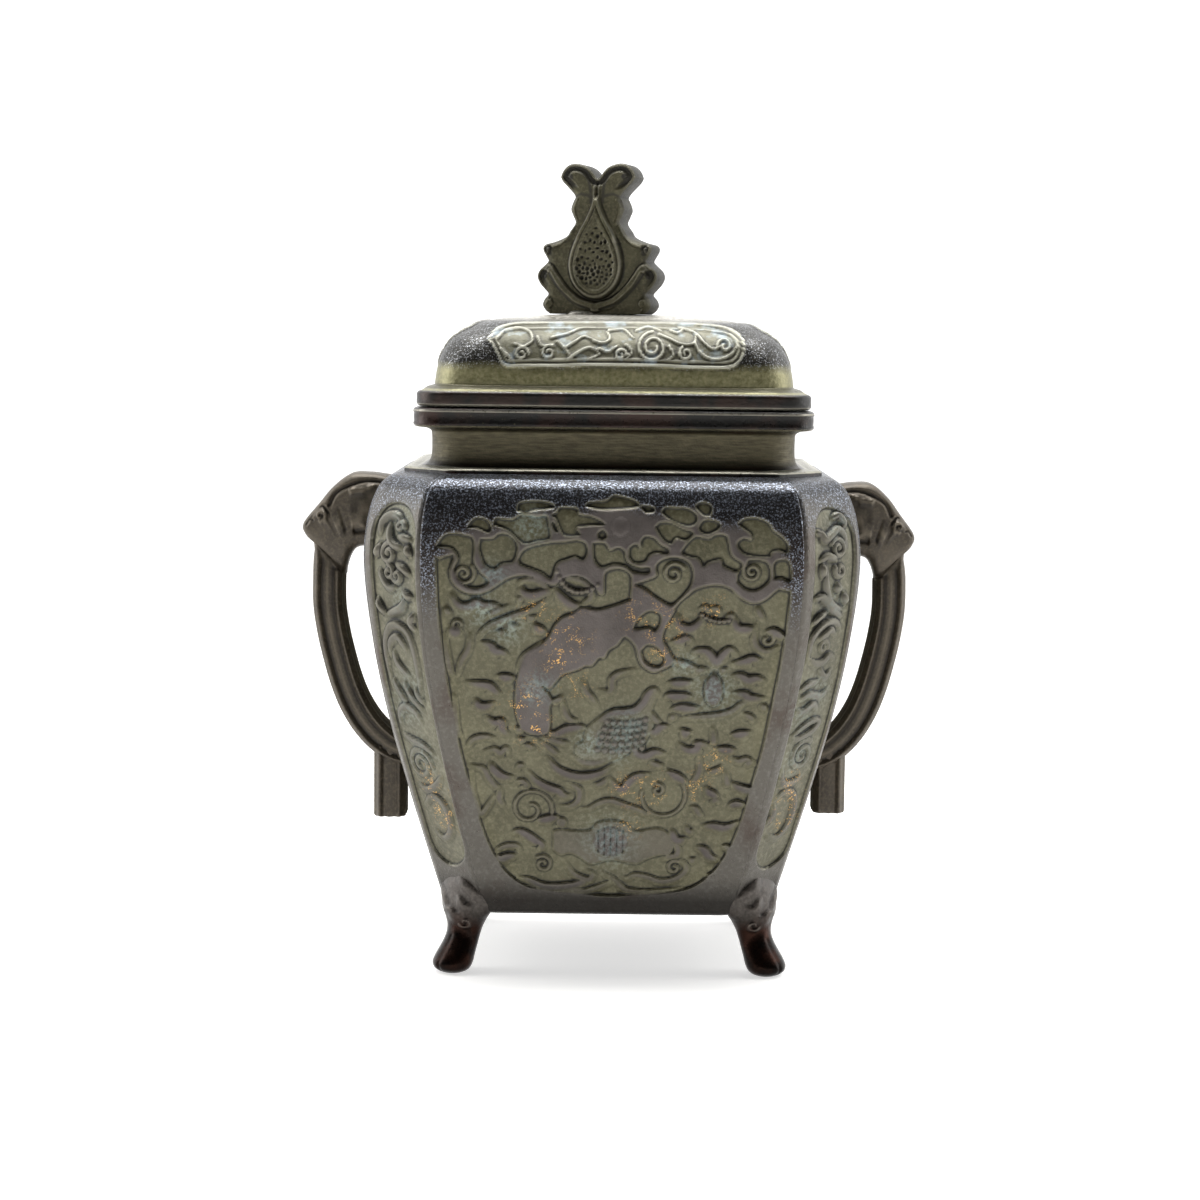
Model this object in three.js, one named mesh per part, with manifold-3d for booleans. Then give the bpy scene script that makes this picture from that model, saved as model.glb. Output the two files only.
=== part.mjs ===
// Lidded bronze incense burner in five pieces.
// The vessel is one hollow casting: footed body, neck and mouth rim together.
// Two strap handles with beast heads are cast apart and brazed to its sides.
// The cushion lid lifts off, and its bud finial is a cast plate pinned to a boss.
// Millimetres, +Z up, front face towards -Y, origin under the middle of the feet.

import * as THREE from 'three';
import { mergeVertices } from 'three/addons/utils/BufferGeometryUtils.js';
import Module from 'manifold-3d';

// Driving sizes of the body
const footHeight = 16;          // ground to the underside of the body
const bodyHeight = 116.6;       // underside to the foot of the shoulder step
const maxHalfWidth = 64.3;      // at the widest level
const depthCut = 9;             // how much less the half depth is than the half width
const wall = 3.6;               // cast wall of the body
const floorThickness = 4.5;
const recess = 0.9;             // depth of the ornament panels
const reliefHeight = 1.0;       // raised ornament above the panel ground
const panelFoot = 8.5;          // underside to the bottom of the front panel
const panelTop = 105.5;         // underside to the top of the front panel
const cartoucheHalf = 33;       // half length of the border line on the lid's broad faces

// Neck, mouth rim and lid rim
const neckHalfWidth = 47.5;
const neckHeight = 9.9;
const shoulderStep = 1.3;       // raised collar plate round the foot of the neck
const ledgeDrop = 0.4;          // the collar falls this far from neck to edge
const rimHalfWidth = 51.9;
const rimHeight = 5.0;
const rimCorner = 8.5;
const mouthHalfWidth = 43.2;
const lidGap = 0.35;            // clearance between lid and mouth rim
const lidRimHalfWidth = 51.1;
const lidRimHeight = 4.1;
const lidLedgeRise = 1.3;       // sloping ledge between lid rim and dome
const lidWall = 3.0;
const locatingLipDepth = 4.0;
const locatingLipWall = 2.2;
const lipClearance = 0.8;

// Dome of the lid
const domeHalfWidth = 47.0;
const domeHeight = 18.8;

// Finial plate
const finialHeight = 40.2;
const finialHalfWidth = 16.9;
const finialThickness = 12.4;
const finialTurn = 15;          // degrees about the vertical
const finialOffset = -3.8;      // left of the middle
const bossHeight = 1.0;

// Handles
const snoutLeft = 19.7;         // widest side of the body to the tip of the left snout
const snoutRight = 17.7;        // the right head was filed shorter
const handleTop = 113.9;        // underside to the crown of the head
const headHeight = 27.5;        // crown to the nape, where the strap begins
const headWidth = 14.0;
const strapWidth = 12.0;        // along the side of the body
const strapThickness = 8.4;
const strapFoot = 37;           // underside to the middle of the strap's lower end
const tabOut = 6;               // side of the body to the middle of the tab
const tabThickness = 9;
const tabFootLeft = 20.0;       // underside to the lower end of the left tab
const tabFootRight = 22.4;      // the right tab came out of the mould shorter
const brazeGap = 0.3;
const sliver = 0.16;            // edges closer than this to a neighbour are merged

// Sizes that follow
const bodyBase = footHeight;
const shoulderLevel = bodyBase + bodyHeight;
const collarLevel = shoulderLevel + shoulderStep;
const neckBase = collarLevel + ledgeDrop;
const rimBase = neckBase + neckHeight;
const rimTop = rimBase + rimHeight;
const lidBase = rimTop + lidGap;
const ledgeLevel = lidBase + lidRimHeight;
const domeBase = ledgeLevel + lidLedgeRise;
const domeTop = domeBase + domeHeight;
const finialBase = domeTop + bossHeight;

const wasm = await Module();
wasm.setup();

// Turns a closed geometry into a solid, facing out whichever way it was listed
function solidOf(geometry) {
  const position = geometry.getAttribute('position');
  const index = Array.from(geometry.index.array);
  let volume = 0;
  const a = new THREE.Vector3();
  const b = new THREE.Vector3();
  const c = new THREE.Vector3();
  for (let i = 0; i < index.length; i += 3) {
    a.fromBufferAttribute(position, index[i]);
    b.fromBufferAttribute(position, index[i + 1]);
    c.fromBufferAttribute(position, index[i + 2]);
    volume += a.dot(b.cross(c));
  }
  if (volume < 0) index.reverse();
  return new wasm.Manifold(new wasm.Mesh({
    numProp: 3,
    vertProperties: new Float32Array(position.array),
    triVerts: new Uint32Array(index),
  }));
}

// Back to a geometry, without the slivers that the joins leave on flat ground
function geometryOf(solid) {
  const mesh = solid.simplify(sliver).getMesh();
  const geometry = new THREE.BufferGeometry();
  geometry.setAttribute('position', new THREE.BufferAttribute(new Float32Array(mesh.vertProperties), 3));
  geometry.setIndex(new THREE.BufferAttribute(new Uint32Array(mesh.triVerts), 1));
  geometry.computeVertexNormals();
  return geometry;
}

// Skins a stack of rings with equal point counts and closes both ends with fans
function skin(rings) {
  const count = rings[0].length;
  const points = rings.flat();
  const middle = (ring) => [0, 1, 2].map((k) => ring.reduce((sum, p) => sum + p[k], 0) / count);
  const first = points.length;
  points.push(middle(rings[0]), middle(rings[rings.length - 1]));
  const index = [];
  for (let level = 0; level + 1 < rings.length; level += 1) {
    for (let i = 0; i < count; i += 1) {
      const next = (i + 1) % count;
      const low = level * count;
      const high = low + count;
      index.push(low + i, low + next, high + next, low + i, high + next, high + i);
    }
  }
  const last = (rings.length - 1) * count;
  for (let i = 0; i < count; i += 1) {
    const next = (i + 1) % count;
    index.push(first, next, i, first + 1, last + i, last + next);
  }
  const geometry = new THREE.BufferGeometry();
  geometry.setAttribute('position', new THREE.BufferAttribute(new Float32Array(points.flat()), 3));
  geometry.setIndex(index);
  return geometry;
}

const solidSkin = (rings) => solidOf(skin(rings));

// Smooth value through a table of rows [height, value, value ...]
function fair(table, height, column) {
  const last = table.length - 1;
  const h = Math.min(Math.max(height, table[0][0]), table[last][0]);
  let i = 0;
  while (i < last - 1 && h > table[i + 1][0]) i += 1;
  const slope = (k) => {
    const low = Math.max(k - 1, 0);
    const high = Math.min(k + 1, last);
    return (table[high][column] - table[low][column]) / (table[high][0] - table[low][0]);
  };
  const span = table[i + 1][0] - table[i][0];
  const t = (h - table[i][0]) / span;
  const t2 = t * t;
  const t3 = t2 * t;
  return (2 * t3 - 3 * t2 + 1) * table[i][column] + (t3 - 2 * t2 + t) * span * slope(i)
    + (3 * t2 - 2 * t3) * table[i + 1][column] + (t3 - t2) * span * slope(i + 1);
}

// Body profile: share of the body height, half width, width of the canted corner
const profile = [
  [0, maxHalfWidth - 20.6, 11.2],
  [0.17, maxHalfWidth - 14.9, 12.0],
  [0.29, maxHalfWidth - 11.0, 12.8],
  [0.47, maxHalfWidth - 5.7, 13.8],
  [0.63, maxHalfWidth - 2.2, 14.6],
  [0.80, maxHalfWidth, 15.6],
  [0.90, maxHalfWidth - 1.0, 15.0],
  [0.965, maxHalfWidth - 3.6, 13.8],
  [0.99, maxHalfWidth - 6.4, 13.0],
  [1.0, maxHalfWidth - 9.6, 12.4],
];
const halfWidthAt = (h) => fair(profile, h / bodyHeight, 1);
const halfDepthAt = (h) => halfWidthAt(h) - depthCut;
const cantAt = (h) => fair(profile, h / bodyHeight, 2);

// Half width of the front panel, rounded off at its foot and its top
function panelHalfWidth(h, share) {
  const full = (halfWidthAt(h) - cantAt(h)) * share;
  const foot = Math.max(0, 1 - (h - panelFoot) / 12);
  const top = Math.max(0, 1 - (panelTop - h) / 6);
  return full * (Math.sqrt(Math.max(0, 1 - foot * foot)) * 0.62 + 0.38)
    * (Math.sqrt(Math.max(0, 1 - top * top)) * 0.14 + 0.86);
}

// Mirrors one quarter of a plan, front middle to side middle, into a closed ring
function fullRing(quarter, z) {
  const side = quarter.length - 1;
  const ring = [];
  for (let i = 0; i <= side; i += 1) ring.push([quarter[i][0], quarter[i][1], z]);
  for (let i = side - 1; i >= 0; i -= 1) ring.push([quarter[i][0], -quarter[i][1], z]);
  for (let i = 1; i <= side; i += 1) ring.push([-quarter[i][0], -quarter[i][1], z]);
  for (let i = side - 1; i > 0; i -= 1) ring.push([-quarter[i][0], quarter[i][1], z]);
  return ring;
}

// Canted plan with sunk panels on the front, the corner and the side
function cantedRing(h, sunk, grow = 0) {
  const hx = halfWidthAt(h) + grow;
  const hy = halfDepthAt(h) + grow;
  const cant = cantAt(h);
  const edge = 1.6;
  const step = 0.7;
  const wf = panelHalfWidth(h, 0.93);
  const ws = Math.min(panelHalfWidth(h, 0.93) - depthCut, hy - cant - 2.5);
  const along = (t, out) => [
    hx - cant + cant * t + out * Math.SQRT1_2, -hy + cant * t - out * Math.SQRT1_2,
  ];
  const margin = 0.17;
  return fullRing([
    [0, -hy + sunk], [wf, -hy + sunk], [wf + step, -hy],
    [hx - cant - edge, -hy], along(0.06, 0),
    along(margin - 0.04, 0), along(margin, -sunk), along(1 - margin, -sunk), along(1.04 - margin, 0),
    along(0.94, 0), [hx, -hy + cant + edge],
    [hx, -ws - step], [hx - sunk, -ws], [hx - sunk, 0],
  ], bodyBase + h);
}

// Rounded rectangle; with eight steps its point count matches the canted plan
function roundedRing(hx, hy, radius, z, steps = 4) {
  const arc = (t) => [hx - radius + radius * Math.sin(t), -hy + radius - radius * Math.cos(t)];
  const quarter = [[0, -hy], [hx - radius, -hy]];
  for (let i = 1; i < steps; i += 1) quarter.push(arc((Math.PI / 2) * (i / steps)));
  quarter.push([hx, radius - hy], [hx, 0]);
  return fullRing(quarter, z);
}
const lessDeep = (hx, radius, z, steps) => roundedRing(hx, hx - depthCut, radius, z, steps);

// Places a point of a face: u along it, h up from the underside, out from its ground
const faces = {
  front: (u, h, out) => [u, -(halfDepthAt(h) - recess + out), bodyBase + h],
  back: (u, h, out) => [-u, halfDepthAt(h) - recess + out, bodyBase + h],
  right: (u, h, out) => [halfWidthAt(h) - recess + out, u, bodyBase + h],
  left: (u, h, out) => [-(halfWidthAt(h) - recess + out), -u, bodyBase + h],
};
function cornerFace(sx, sy) {
  return (u, h, out) => {
    const middle = cantAt(h) / 2;
    const push = (out - recess) * Math.SQRT1_2;
    return [
      sx * (halfWidthAt(h) - middle + push + u * Math.SQRT1_2),
      sy * (halfDepthAt(h) - middle + push - u * Math.SQRT1_2),
      bodyBase + h,
    ];
  };
}

// Raised band that follows a drawn line on a face, thinning towards its tip
function band(place, line, width, height, tip = 0.5) {
  const rings = line.map(([u, h], i) => {
    const before = line[Math.max(i - 1, 0)];
    const after = line[Math.min(i + 1, line.length - 1)];
    const du = after[0] - before[0];
    const dh = after[1] - before[1];
    const length = Math.hypot(du, dh);
    const half = (width / 2) * (1 - (1 - tip) * (i / (line.length - 1)));
    const nu = (-dh / length) * half;
    const nh = (du / length) * half;
    return [
      place(u + nu, h + nh, -0.6), place(u - nu, h - nh, -0.6),
      place(u - nu * 0.7, h - nh * 0.7, height), place(u + nu * 0.7, h + nh * 0.7, height),
    ];
  });
  return solidSkin(rings);
}

// Scroll line that winds in from its outer end
function scroll(u, h, radius, start, turns, stations = 11, eye = 0.28) {
  return Array.from({ length: stations }, (_, i) => {
    const t = i / (stations - 1);
    const r = radius * (1 - (1 - eye) * t);
    const angle = THREE.MathUtils.degToRad(start + 360 * turns * t);
    return [u + r * Math.cos(angle), h + r * Math.sin(angle)];
  });
}

// Smooth line through a few points
function flowing(points, stations) {
  const curve = new THREE.CatmullRomCurve3(points.map(([u, h]) => new THREE.Vector3(u, h, 0)));
  return curve.getPoints(stations - 1).map((p) => [p.x, p.y]);
}

// Low round or oval boss on a face
function boss(place, u, h, rx, ry, height, sides = 10) {
  const ring = (share, out) => Array.from({ length: sides }, (_, i) => {
    const angle = (2 * Math.PI * i) / sides;
    return place(u + rx * share * Math.cos(angle), h + ry * share * Math.sin(angle), out);
  });
  return solidSkin([ring(1, -0.6), ring(1, height * 0.6), ring(0.6, height)]);
}

// Ornament of the two broad faces: a beast's curved body, lotus, scrolls and jewels
// Drawn on a panel 97 tall on a body 64.3 wide to each side, heights from the panel's foot
const drawnPanel = { height: 97, maxHalfWidth: 64.3 };
const beastBody = [
  [8, 77], [-3, 74], [-12, 66.5], [-19.5, 57.5], [-22.5, 47.5], [-18, 38], [-9, 34.5], [-1, 35.5],
];
const upperPetals = [[14, 61.5], [18, 65.5], [24, 67], [30, 65.5], [34.5, 61]];
const lowerPetals = [[13.5, 54.5], [18, 50], [24, 48], [30, 49.5], [34.5, 53.5]];
function broadOrnament(place, full) {
  const at = (u, h, out) => place(
    (u * maxHalfWidth) / drawnPanel.maxHalfWidth,
    panelFoot + (h * (panelTop - panelFoot)) / drawnPanel.height, out);
  const parts = [
    band(at, flowing(beastBody, 10), 9, reliefHeight, 0.45),
    band(at, scroll(10.3, 29, 9, 150, -1.15, 10), 2.8, reliefHeight),
    band(at, scroll(-21, 24, 8, 20, 1.2, 10), 2.6, reliefHeight),
    boss(at, 0.8, 15, 5.8, 5.8, 1.4),
    boss(at, 24, 57.5, 3.6, 6.2, 1.3, 8),
  ];
  if (!full) return parts;
  parts.push(
    band(at, scroll(12, 84.5, 6.4, -100, 1.2, 9), 2.4, reliefHeight),
    band(at, scroll(35, 85, 4.6, -150, 1.1, 8), 2.2, reliefHeight),
    band(at, scroll(-37, 84.5, 5, 200, 1.1, 8), 2.2, reliefHeight),
    band(at, flowing(upperPetals, 6), 2.2, reliefHeight, 0.8),
    band(at, flowing(lowerPetals, 6), 2.2, reliefHeight, 0.8),
    boss(at, 3.8, 42, 7, 5, 1.2, 8),
    boss(at, 2, 94.7, 3.2, 3.2, 1.3, 8),
  );
  return parts;
}

// Ornament of a narrow end: two scrolls under the handle and one each side of its root
function endOrnament(place) {
  return [
    band(place, scroll(-14, 90, 6, -60, -1.1, 8), 2.2, reliefHeight),
    band(place, scroll(14, 90, 6, 240, 1.1, 8), 2.2, reliefHeight),
    boss(place, 0, 16, 4.2, 4.2, 1.2, 8),
  ];
}

// Ornament of a canted corner: an oval ring above a long S scroll
const cornerLine = [[-2, 78], [3, 75], [2.5, 67], [-2.5, 54], [-2, 44], [2, 40]];
function cornerOrnament(place) {
  return [
    band(place, scroll(0, 94, 3.4, 90, 1.0, 7, 0.6), 1.8, reliefHeight, 0.8),
    band(place, flowing(cornerLine, 8), 2.4, reliefHeight),
  ];
}

// Foot: a mask swelling out of the canted corner, a narrow ankle and a round hoof
// Each row: height, how far out of the corner plane, half width across, half thickness
const footRows = [
  [0, 4.6, 4.4, 4.0], [1.0, 4.6, 5.6, 5.2], [3.2, 4.2, 5.9, 5.4], [6.6, 2.6, 5.2, 4.6],
  [10.6, 0.8, 4.9, 4.2], [14.0, 0.4, 5.9, 4.7], [17.4, 0.4, 7.6, 5.2], [23, 0.2, 8.4, 5.0],
  [29, -0.6, 6.8, 3.8], [32, -1.4, 3.2, 2.6],
];
function foot(sx, sy) {
  const nx = Math.SQRT1_2;
  const [cx, cy] = [halfWidthAt(0) - cantAt(0) / 2, halfDepthAt(0) - cantAt(0) / 2];
  return solidSkin(footRows.map(([z, lean, across, thick]) => Array.from({ length: 8 }, (_, i) => {
    const angle = (2 * Math.PI * i) / 8;
    const out = lean + thick * Math.cos(angle);
    const wide = across * Math.sin(angle);
    return [sx * (cx + (out - wide) * nx), sy * (cy + (out + wide) * nx), z];
  })));
}

// Body: outside skin, feet and ornament joined, then the inside taken out
const levels = [1.5, panelFoot, panelFoot + 0.8, panelFoot + 4, panelFoot + 9, 31, 48, 65, 81, 95,
  panelTop - 1.5, panelTop, panelTop + 0.9, 110.5, 114.4];
const sunkAt = (h) => (h > panelFoot && h <= panelTop ? recess : 0);
const bodySkin = (grow) => [
  lessDeep(halfWidthAt(0) - 1.2 + grow, 9, bodyBase, 11),
  ...levels.map((h) => cantedRing(h, sunkAt(h), grow)),
  cantedRing(bodyHeight, 0, grow),
];
// Collar plate: the canted plan a little inside the top of the shoulder
const plateRing = (grow, z) => cantedRing(bodyHeight, 0, grow - 0.5).map(([x, y]) => [x, y, z]);
const vessel = solidSkin([
  ...bodySkin(0),
  plateRing(0, shoulderLevel + 0.2), plateRing(0, collarLevel - 0.3), plateRing(-0.5, collarLevel),
  lessDeep(neckHalfWidth - 1, 10, neckBase - 0.1, 11),
]);
const neck = solidSkin([
  lessDeep(neckHalfWidth - 2, 9, shoulderLevel - 1.5),
  lessDeep(neckHalfWidth + 1.6, 10, collarLevel + 0.1),
  lessDeep(neckHalfWidth + 0.3, 11, neckBase + 1.2),
  lessDeep(neckHalfWidth, 11, neckBase + 4),
  lessDeep(neckHalfWidth, 11, rimBase - 0.6),
  lessDeep(rimHalfWidth - 1.2, rimCorner - 1, rimBase),
  lessDeep(rimHalfWidth, rimCorner, rimBase + 1.2),
  lessDeep(rimHalfWidth, rimCorner, rimTop - 0.9),
  lessDeep(rimHalfWidth - 0.9, rimCorner, rimTop),
]);
const hollowRing = (h) => lessDeep(halfWidthAt(h) - recess - wall, 1.5 * cantAt(h), bodyBase + h);
const hollow = solidSkin([
  hollowRing(floorThickness), hollowRing(24), hollowRing(50), hollowRing(78), hollowRing(99),
  lessDeep(halfWidthAt(bodyHeight) - wall - 1, 14, shoulderLevel - wall - 1.5),
  lessDeep(mouthHalfWidth, 8, neckBase + 0.5),
  lessDeep(mouthHalfWidth, 8, rimTop + 1),
]);
const bodyParts = [
  vessel, neck,
  foot(1, 1), foot(1, -1), foot(-1, 1), foot(-1, -1),
  ...broadOrnament(faces.front, true),
  ...broadOrnament(faces.back, false),
  ...endOrnament(faces.right),
  ...endOrnament(faces.left),
];
for (const [sx, sy] of [[1, 1], [1, -1], [-1, 1], [-1, -1]]) {
  bodyParts.push(...cornerOrnament(cornerFace(sx, sy)));
}
const body = bodyParts.reduce((sum, piece) => sum.add(piece)).subtract(hollow);

// Lid: sloping ledge and cushion dome; rows are share of the dome height and inset
const domeRows = [
  [0, 0], [0.2, 0.5], [0.38, 1.4], [0.54, 2.9], [0.66, 4.7], [0.78, 8.0], [0.88, 12.2], [0.96, 21.4],
  [1, 33],
];
function domeRing(share, inset, shrink = 0) {
  const reach = domeHalfWidth - inset - shrink;
  const radius = Math.min(12 - 0.1 * inset - shrink / 2, reach - depthCut - 0.2);
  return lessDeep(reach, radius, domeBase + domeHeight * share - shrink);
}
const lidSkin = solidSkin([
  lessDeep(lidRimHalfWidth - 0.5, rimCorner, lidBase),
  lessDeep(lidRimHalfWidth, rimCorner, lidBase + 0.7),
  lessDeep(lidRimHalfWidth, rimCorner, ledgeLevel - 0.8),
  lessDeep(lidRimHalfWidth - 0.8, rimCorner, ledgeLevel),
  ...domeRows.map(([share, inset]) => domeRing(share, inset)),
]);
const lip = solidSkin([
  lessDeep(mouthHalfWidth - lipClearance, 7.4, lidBase - locatingLipDepth),
  lessDeep(mouthHalfWidth - lipClearance, 7.4, lidBase + 1),
]);
const lidHollow = solidSkin([
  lessDeep(mouthHalfWidth - lipClearance - locatingLipWall, 6, lidBase - locatingLipDepth - 1),
  lessDeep(mouthHalfWidth - lipClearance - locatingLipWall, 6, domeBase),
  ...domeRows.filter(([share]) => share > 0.5 && share < 1)
    .map(([share, inset]) => domeRing(share, inset, lidWall)),
]);

// Places a point on the dome: u along the face, t up the dome from 0 to 1
const domeInset = (t) => fair(domeRows.map(([share, inset]) => [share, inset]), t, 1);
function domeFace(side) {
  const less = side === 'front' || side === 'back' ? depthCut : 0;
  return (u, t, out) => {
    const reach = domeHalfWidth - domeInset(t) + out * 0.75 - less;
    const z = domeBase + domeHeight * t + out * 0.66;
    return {
      front: [u, -reach, z], back: [-u, reach, z], right: [reach, u, z], left: [-reach, -u, z],
    }[side];
  };
}
// Border line with a pointed end on the left and a round one on the right
function cartouche(side, length) {
  const face = domeFace(side);
  const place = (u, h, out) => face(u, 0.2 + h * 0.0355, out);
  const line = [
    [-length, 10], [-length + 5, 0.6], [0, 0.6], [length - 6, 0.6], [length - 1.6, 3.4],
    [length, 9], [length - 3, 14.6], [length - 9, 17], [-length + 6, 17], [-length, 10],
  ];
  return [
    band(place, line, 1.3, 0.7, 1),
    band(place, scroll(-length + 9, 8.5, 4.4, 120, 1.1, 7), 1.5, 0.7),
    band(place, scroll(length - 8, 8.5, 4.2, 60, -1.1, 7), 1.5, 0.7),
  ];
}
const tenon = solidSkin([
  roundedRing(9.5, 5.2, 4, domeTop - 1.2), roundedRing(9.2, 5, 4, finialBase - lidGap),
]).translate([finialOffset, 0, 0]);
const lid = [
  lidSkin, lip, tenon,
  ...cartouche('front', cartoucheHalf), ...cartouche('back', cartoucheHalf),
  ...cartouche('right', cartoucheHalf - depthCut).slice(0, 1),
  ...cartouche('left', cartoucheHalf - depthCut).slice(0, 1),
].reduce((sum, piece) => sum.add(piece)).subtract(lidHollow);

// Finial plate, drawn 16.2 wide to each side and 40.2 tall: right half of its outline
const drawnBud = { halfWidth: 16.2, height: 40.2 };
const budPoint = ([x, z]) => [
  (x * finialHalfWidth) / drawnBud.halfWidth, (z * finialHeight) / drawnBud.height,
];
const budOutline = [
  [12.8, 0], [14.5, 2.6], [13.1, 5.9], [15.6, 8.0], [16.2, 10.2], [15.2, 12.6], [13.2, 14.6],
  [14.5, 17.4], [12.8, 19.5], [8.2, 21.1], [6.6, 23.2], [5.8, 25.3], [7.1, 27.9], [6.1, 31.4],
  [8.4, 34.5], [10.5, 36.9], [8.9, 38.8], [6.9, 39.8], [4.4, 39.1], [0.6, 36.6],
].map(budPoint);
const plateShape = new THREE.Shape([
  ...budOutline, ...budOutline.map(([x, z]) => [-x, z]).reverse(),
].map(([x, z]) => new THREE.Vector2(x, z)));
const bevel = 0.7;
const plate = new THREE.ExtrudeGeometry(plateShape, {
  depth: finialThickness - 2 * bevel,
  bevelThickness: bevel,
  bevelSize: 0.5,
  bevelOffset: -0.5,
  bevelSegments: 1,
});
plate.rotateX(Math.PI / 2);
plate.translate(0, finialThickness / 2 - bevel, 0);
plate.deleteAttribute('normal');
plate.deleteAttribute('uv');
// Teardrop bud, the two straps that sweep up to the lower volutes, and the upper volutes
const lowerStrap = [[0.6, 2.6], [7, 5], [11.4, 10], [14.2, 12.2], [15, 9.6]];
const upperVolute = [[1.6, 27], [2.6, 34], [5.6, 38.4], [8.4, 36.6], [6.6, 34.6]];
const budDrop = { halfWidth: 7.2, middle: 13, above: 16, below: 9 };
function budFace(sign) {
  const place = (u, h, out) => {
    const [x, z] = budPoint([u, h]);
    return [sign * x, -sign * (finialThickness / 2 + out), z];
  };
  const drop = (share, out) => Array.from({ length: 12 }, (_, i) => {
    const angle = (2 * Math.PI * i) / 12;
    const rise = Math.sin(angle);
    const narrow = 1 - 0.62 * Math.max(rise, 0) ** 0.8;
    return place(Math.cos(angle) * budDrop.halfWidth * share * narrow,
      budDrop.middle + rise * share * (rise > 0 ? budDrop.above : budDrop.below), out);
  });
  const both = (line, stations, width, height) => [-1, 1].map((side) => (
    band(place, flowing(line.map(([u, h]) => [side * u, h]), stations), width, height, 0.8)));
  return [
    solidSkin([drop(1, -0.6), drop(1, 0.7), drop(0.86, 1.0), drop(0.78, 0.5)]),
    ...both(lowerStrap, 6, 2.2, 0.7),
    ...both(upperVolute, 6, 1.9, 0.6),
  ];
}
const finial = [solidOf(mergeVertices(plate)), ...budFace(1), ...budFace(-1)]
  .reduce((sum, piece) => sum.add(piece))
  .rotate([0, 0, -finialTurn]).translate([finialOffset, 0, finialBase]);

// Head of a handle: rows of an inner and an outer point, and the share of the head's width
// A point is its share of the way out from the widest side to the snout, and of the drop
const headRows = [
  [[-0.454, 0.76], [-0.344, 0.065], 0.94], [[0.093, 0.749], [0.093, 0.025], 0.97],
  [[0.23, 0.76], [0.339, 0.036], 1], [[0.311, 0.796], [0.585, 0.164], 1],
  [[0.366, 0.855], [0.781, 0.331], 0.97], [[0.393, 0.905], [1, 0.549], 0.86],
  [[0.41, 0.949], [0.967, 0.665], 0.77], [[0.421, 1], [0.858, 0.731], 0.8],
];
// Middle line of the strap: share of the way out from the body's side to the snout,
// and share of the way down from the crown to the strap's lower end
const strapLine = [
  [0.66, 0.356], [0.675, 0.46], [0.644, 0.555], [0.595, 0.643], [0.538, 0.731], [0.466, 0.812],
  [0.369, 0.884], [0.25, 0.94], [0.11, 0.976], [-0.21, 1],
];
// Ridged strap section: along its thickness from -1 to 1, and share of the half width
const sectionHalf = [[-1, 0.7], [-0.62, 1], [0, 0.84], [0.62, 1], [1, 0.7]];
const section = [...sectionHalf, ...sectionHalf.map(([s, w]) => [s, -w]).reverse()];
const sectionRing = ([xi, hi], [xo, ho], half) => section.map(([s, w]) => {
  const t = (s + 1) / 2;
  return [xi + (xo - xi) * t, w * half, bodyBase + hi + (ho - hi) * t];
});
function handle(side, snout, tabFoot) {
  const headPoint = ([out, drop]) => [maxHalfWidth + out * snout, handleTop - drop * headHeight];
  const line = strapLine.map(([out, drop]) => {
    const h = handleTop - drop * (handleTop - strapFoot);
    return [halfWidthAt(h) + out * (maxHalfWidth + snout - halfWidthAt(h)), h];
  });
  const strapRings = line.map(([x, h], i) => {
    const [bx, bh] = line[Math.max(i - 1, 0)];
    const [ax, ah] = line[Math.min(i + 1, line.length - 1)];
    const scale = strapThickness / 2 / Math.hypot(ax - bx, ah - bh);
    const [nx, nh] = [(bh - ah) * scale, (ax - bx) * scale];
    return sectionRing([x - nx, h - nh], [x + nx, h + nh], strapWidth / 2);
  });
  const head = headRows.map(([inner, outer, share]) => (
    sectionRing(headPoint(inner), headPoint(outer), (share * headWidth) / 2)));
  const tabMiddle = halfWidthAt(strapFoot) + tabOut;
  const tabRing = (h, grow) => sectionRing(
    [tabMiddle - tabThickness / 2 - grow, h], [tabMiddle + tabThickness / 2 + grow, h],
    strapWidth / 2 - 0.4 + grow);
  const tab = [
    tabRing(tabFoot, -0.5), tabRing(tabFoot + 0.7, 0),
    tabRing(strapFoot - 5, -0.3), tabRing(strapFoot + 3.5, -0.4),
  ];
  const marks = [-1, 1].flatMap((sign) => {
    const place = (u, h, out) => [u, sign * (headWidth / 2 - 0.6 + out), bodyBase + h];
    const spot = (point, rx, rh, height, sides) => boss(place, ...headPoint(point), rx, rh, height, sides);
    const brow = [[0.17, 0.258], [0.42, 0.236], [0.639, 0.36], [0.825, 0.484]].map(headPoint);
    return [
      spot([0.585, 0.462], 1.9, 1.7, 0.8, 7),
      spot([0.322, 0.52], 2.6, 3.4, 0.9, 7),
      spot([0.858, 0.578], 1.5, 1.3, 0.1, 6),
      band(place, flowing(brow, 5), 1.6, 1.0, 0.8),
    ];
  });
  return [solidSkin([...head, ...strapRings]), solidSkin(tab), ...marks]
    .reduce((sum, piece) => sum.add(piece))
    .rotate([0, 0, side > 0 ? 0 : 180])
    .subtract(solidSkin(bodySkin(brazeGap)));
}

// Named pieces with their metal
const bronze = (name, hex, roughness) => new THREE.MeshStandardMaterial({
  name, color: new THREE.Color(hex), metalness: 0.75, roughness,
});
const patinated = bronze('patinated_bronze', 0x5a5648, 0.5);
const brown = bronze('brown_bronze', 0x4e473f, 0.6);
const pieces = [
  ['body', body, patinated],
  ['lid', lid, patinated],
  ['finial', finial, brown],
  ['handle_right', handle(1, snoutRight, tabFootRight), brown],
  ['handle_left', handle(-1, snoutLeft, tabFootLeft), brown],
];
const burner = new THREE.Group();
burner.name = 'incense_burner';
for (const [name, solid, material] of pieces) {
  const mesh = new THREE.Mesh(geometryOf(solid), material);
  mesh.name = name;
  burner.add(mesh);
}

export default burner;
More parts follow.
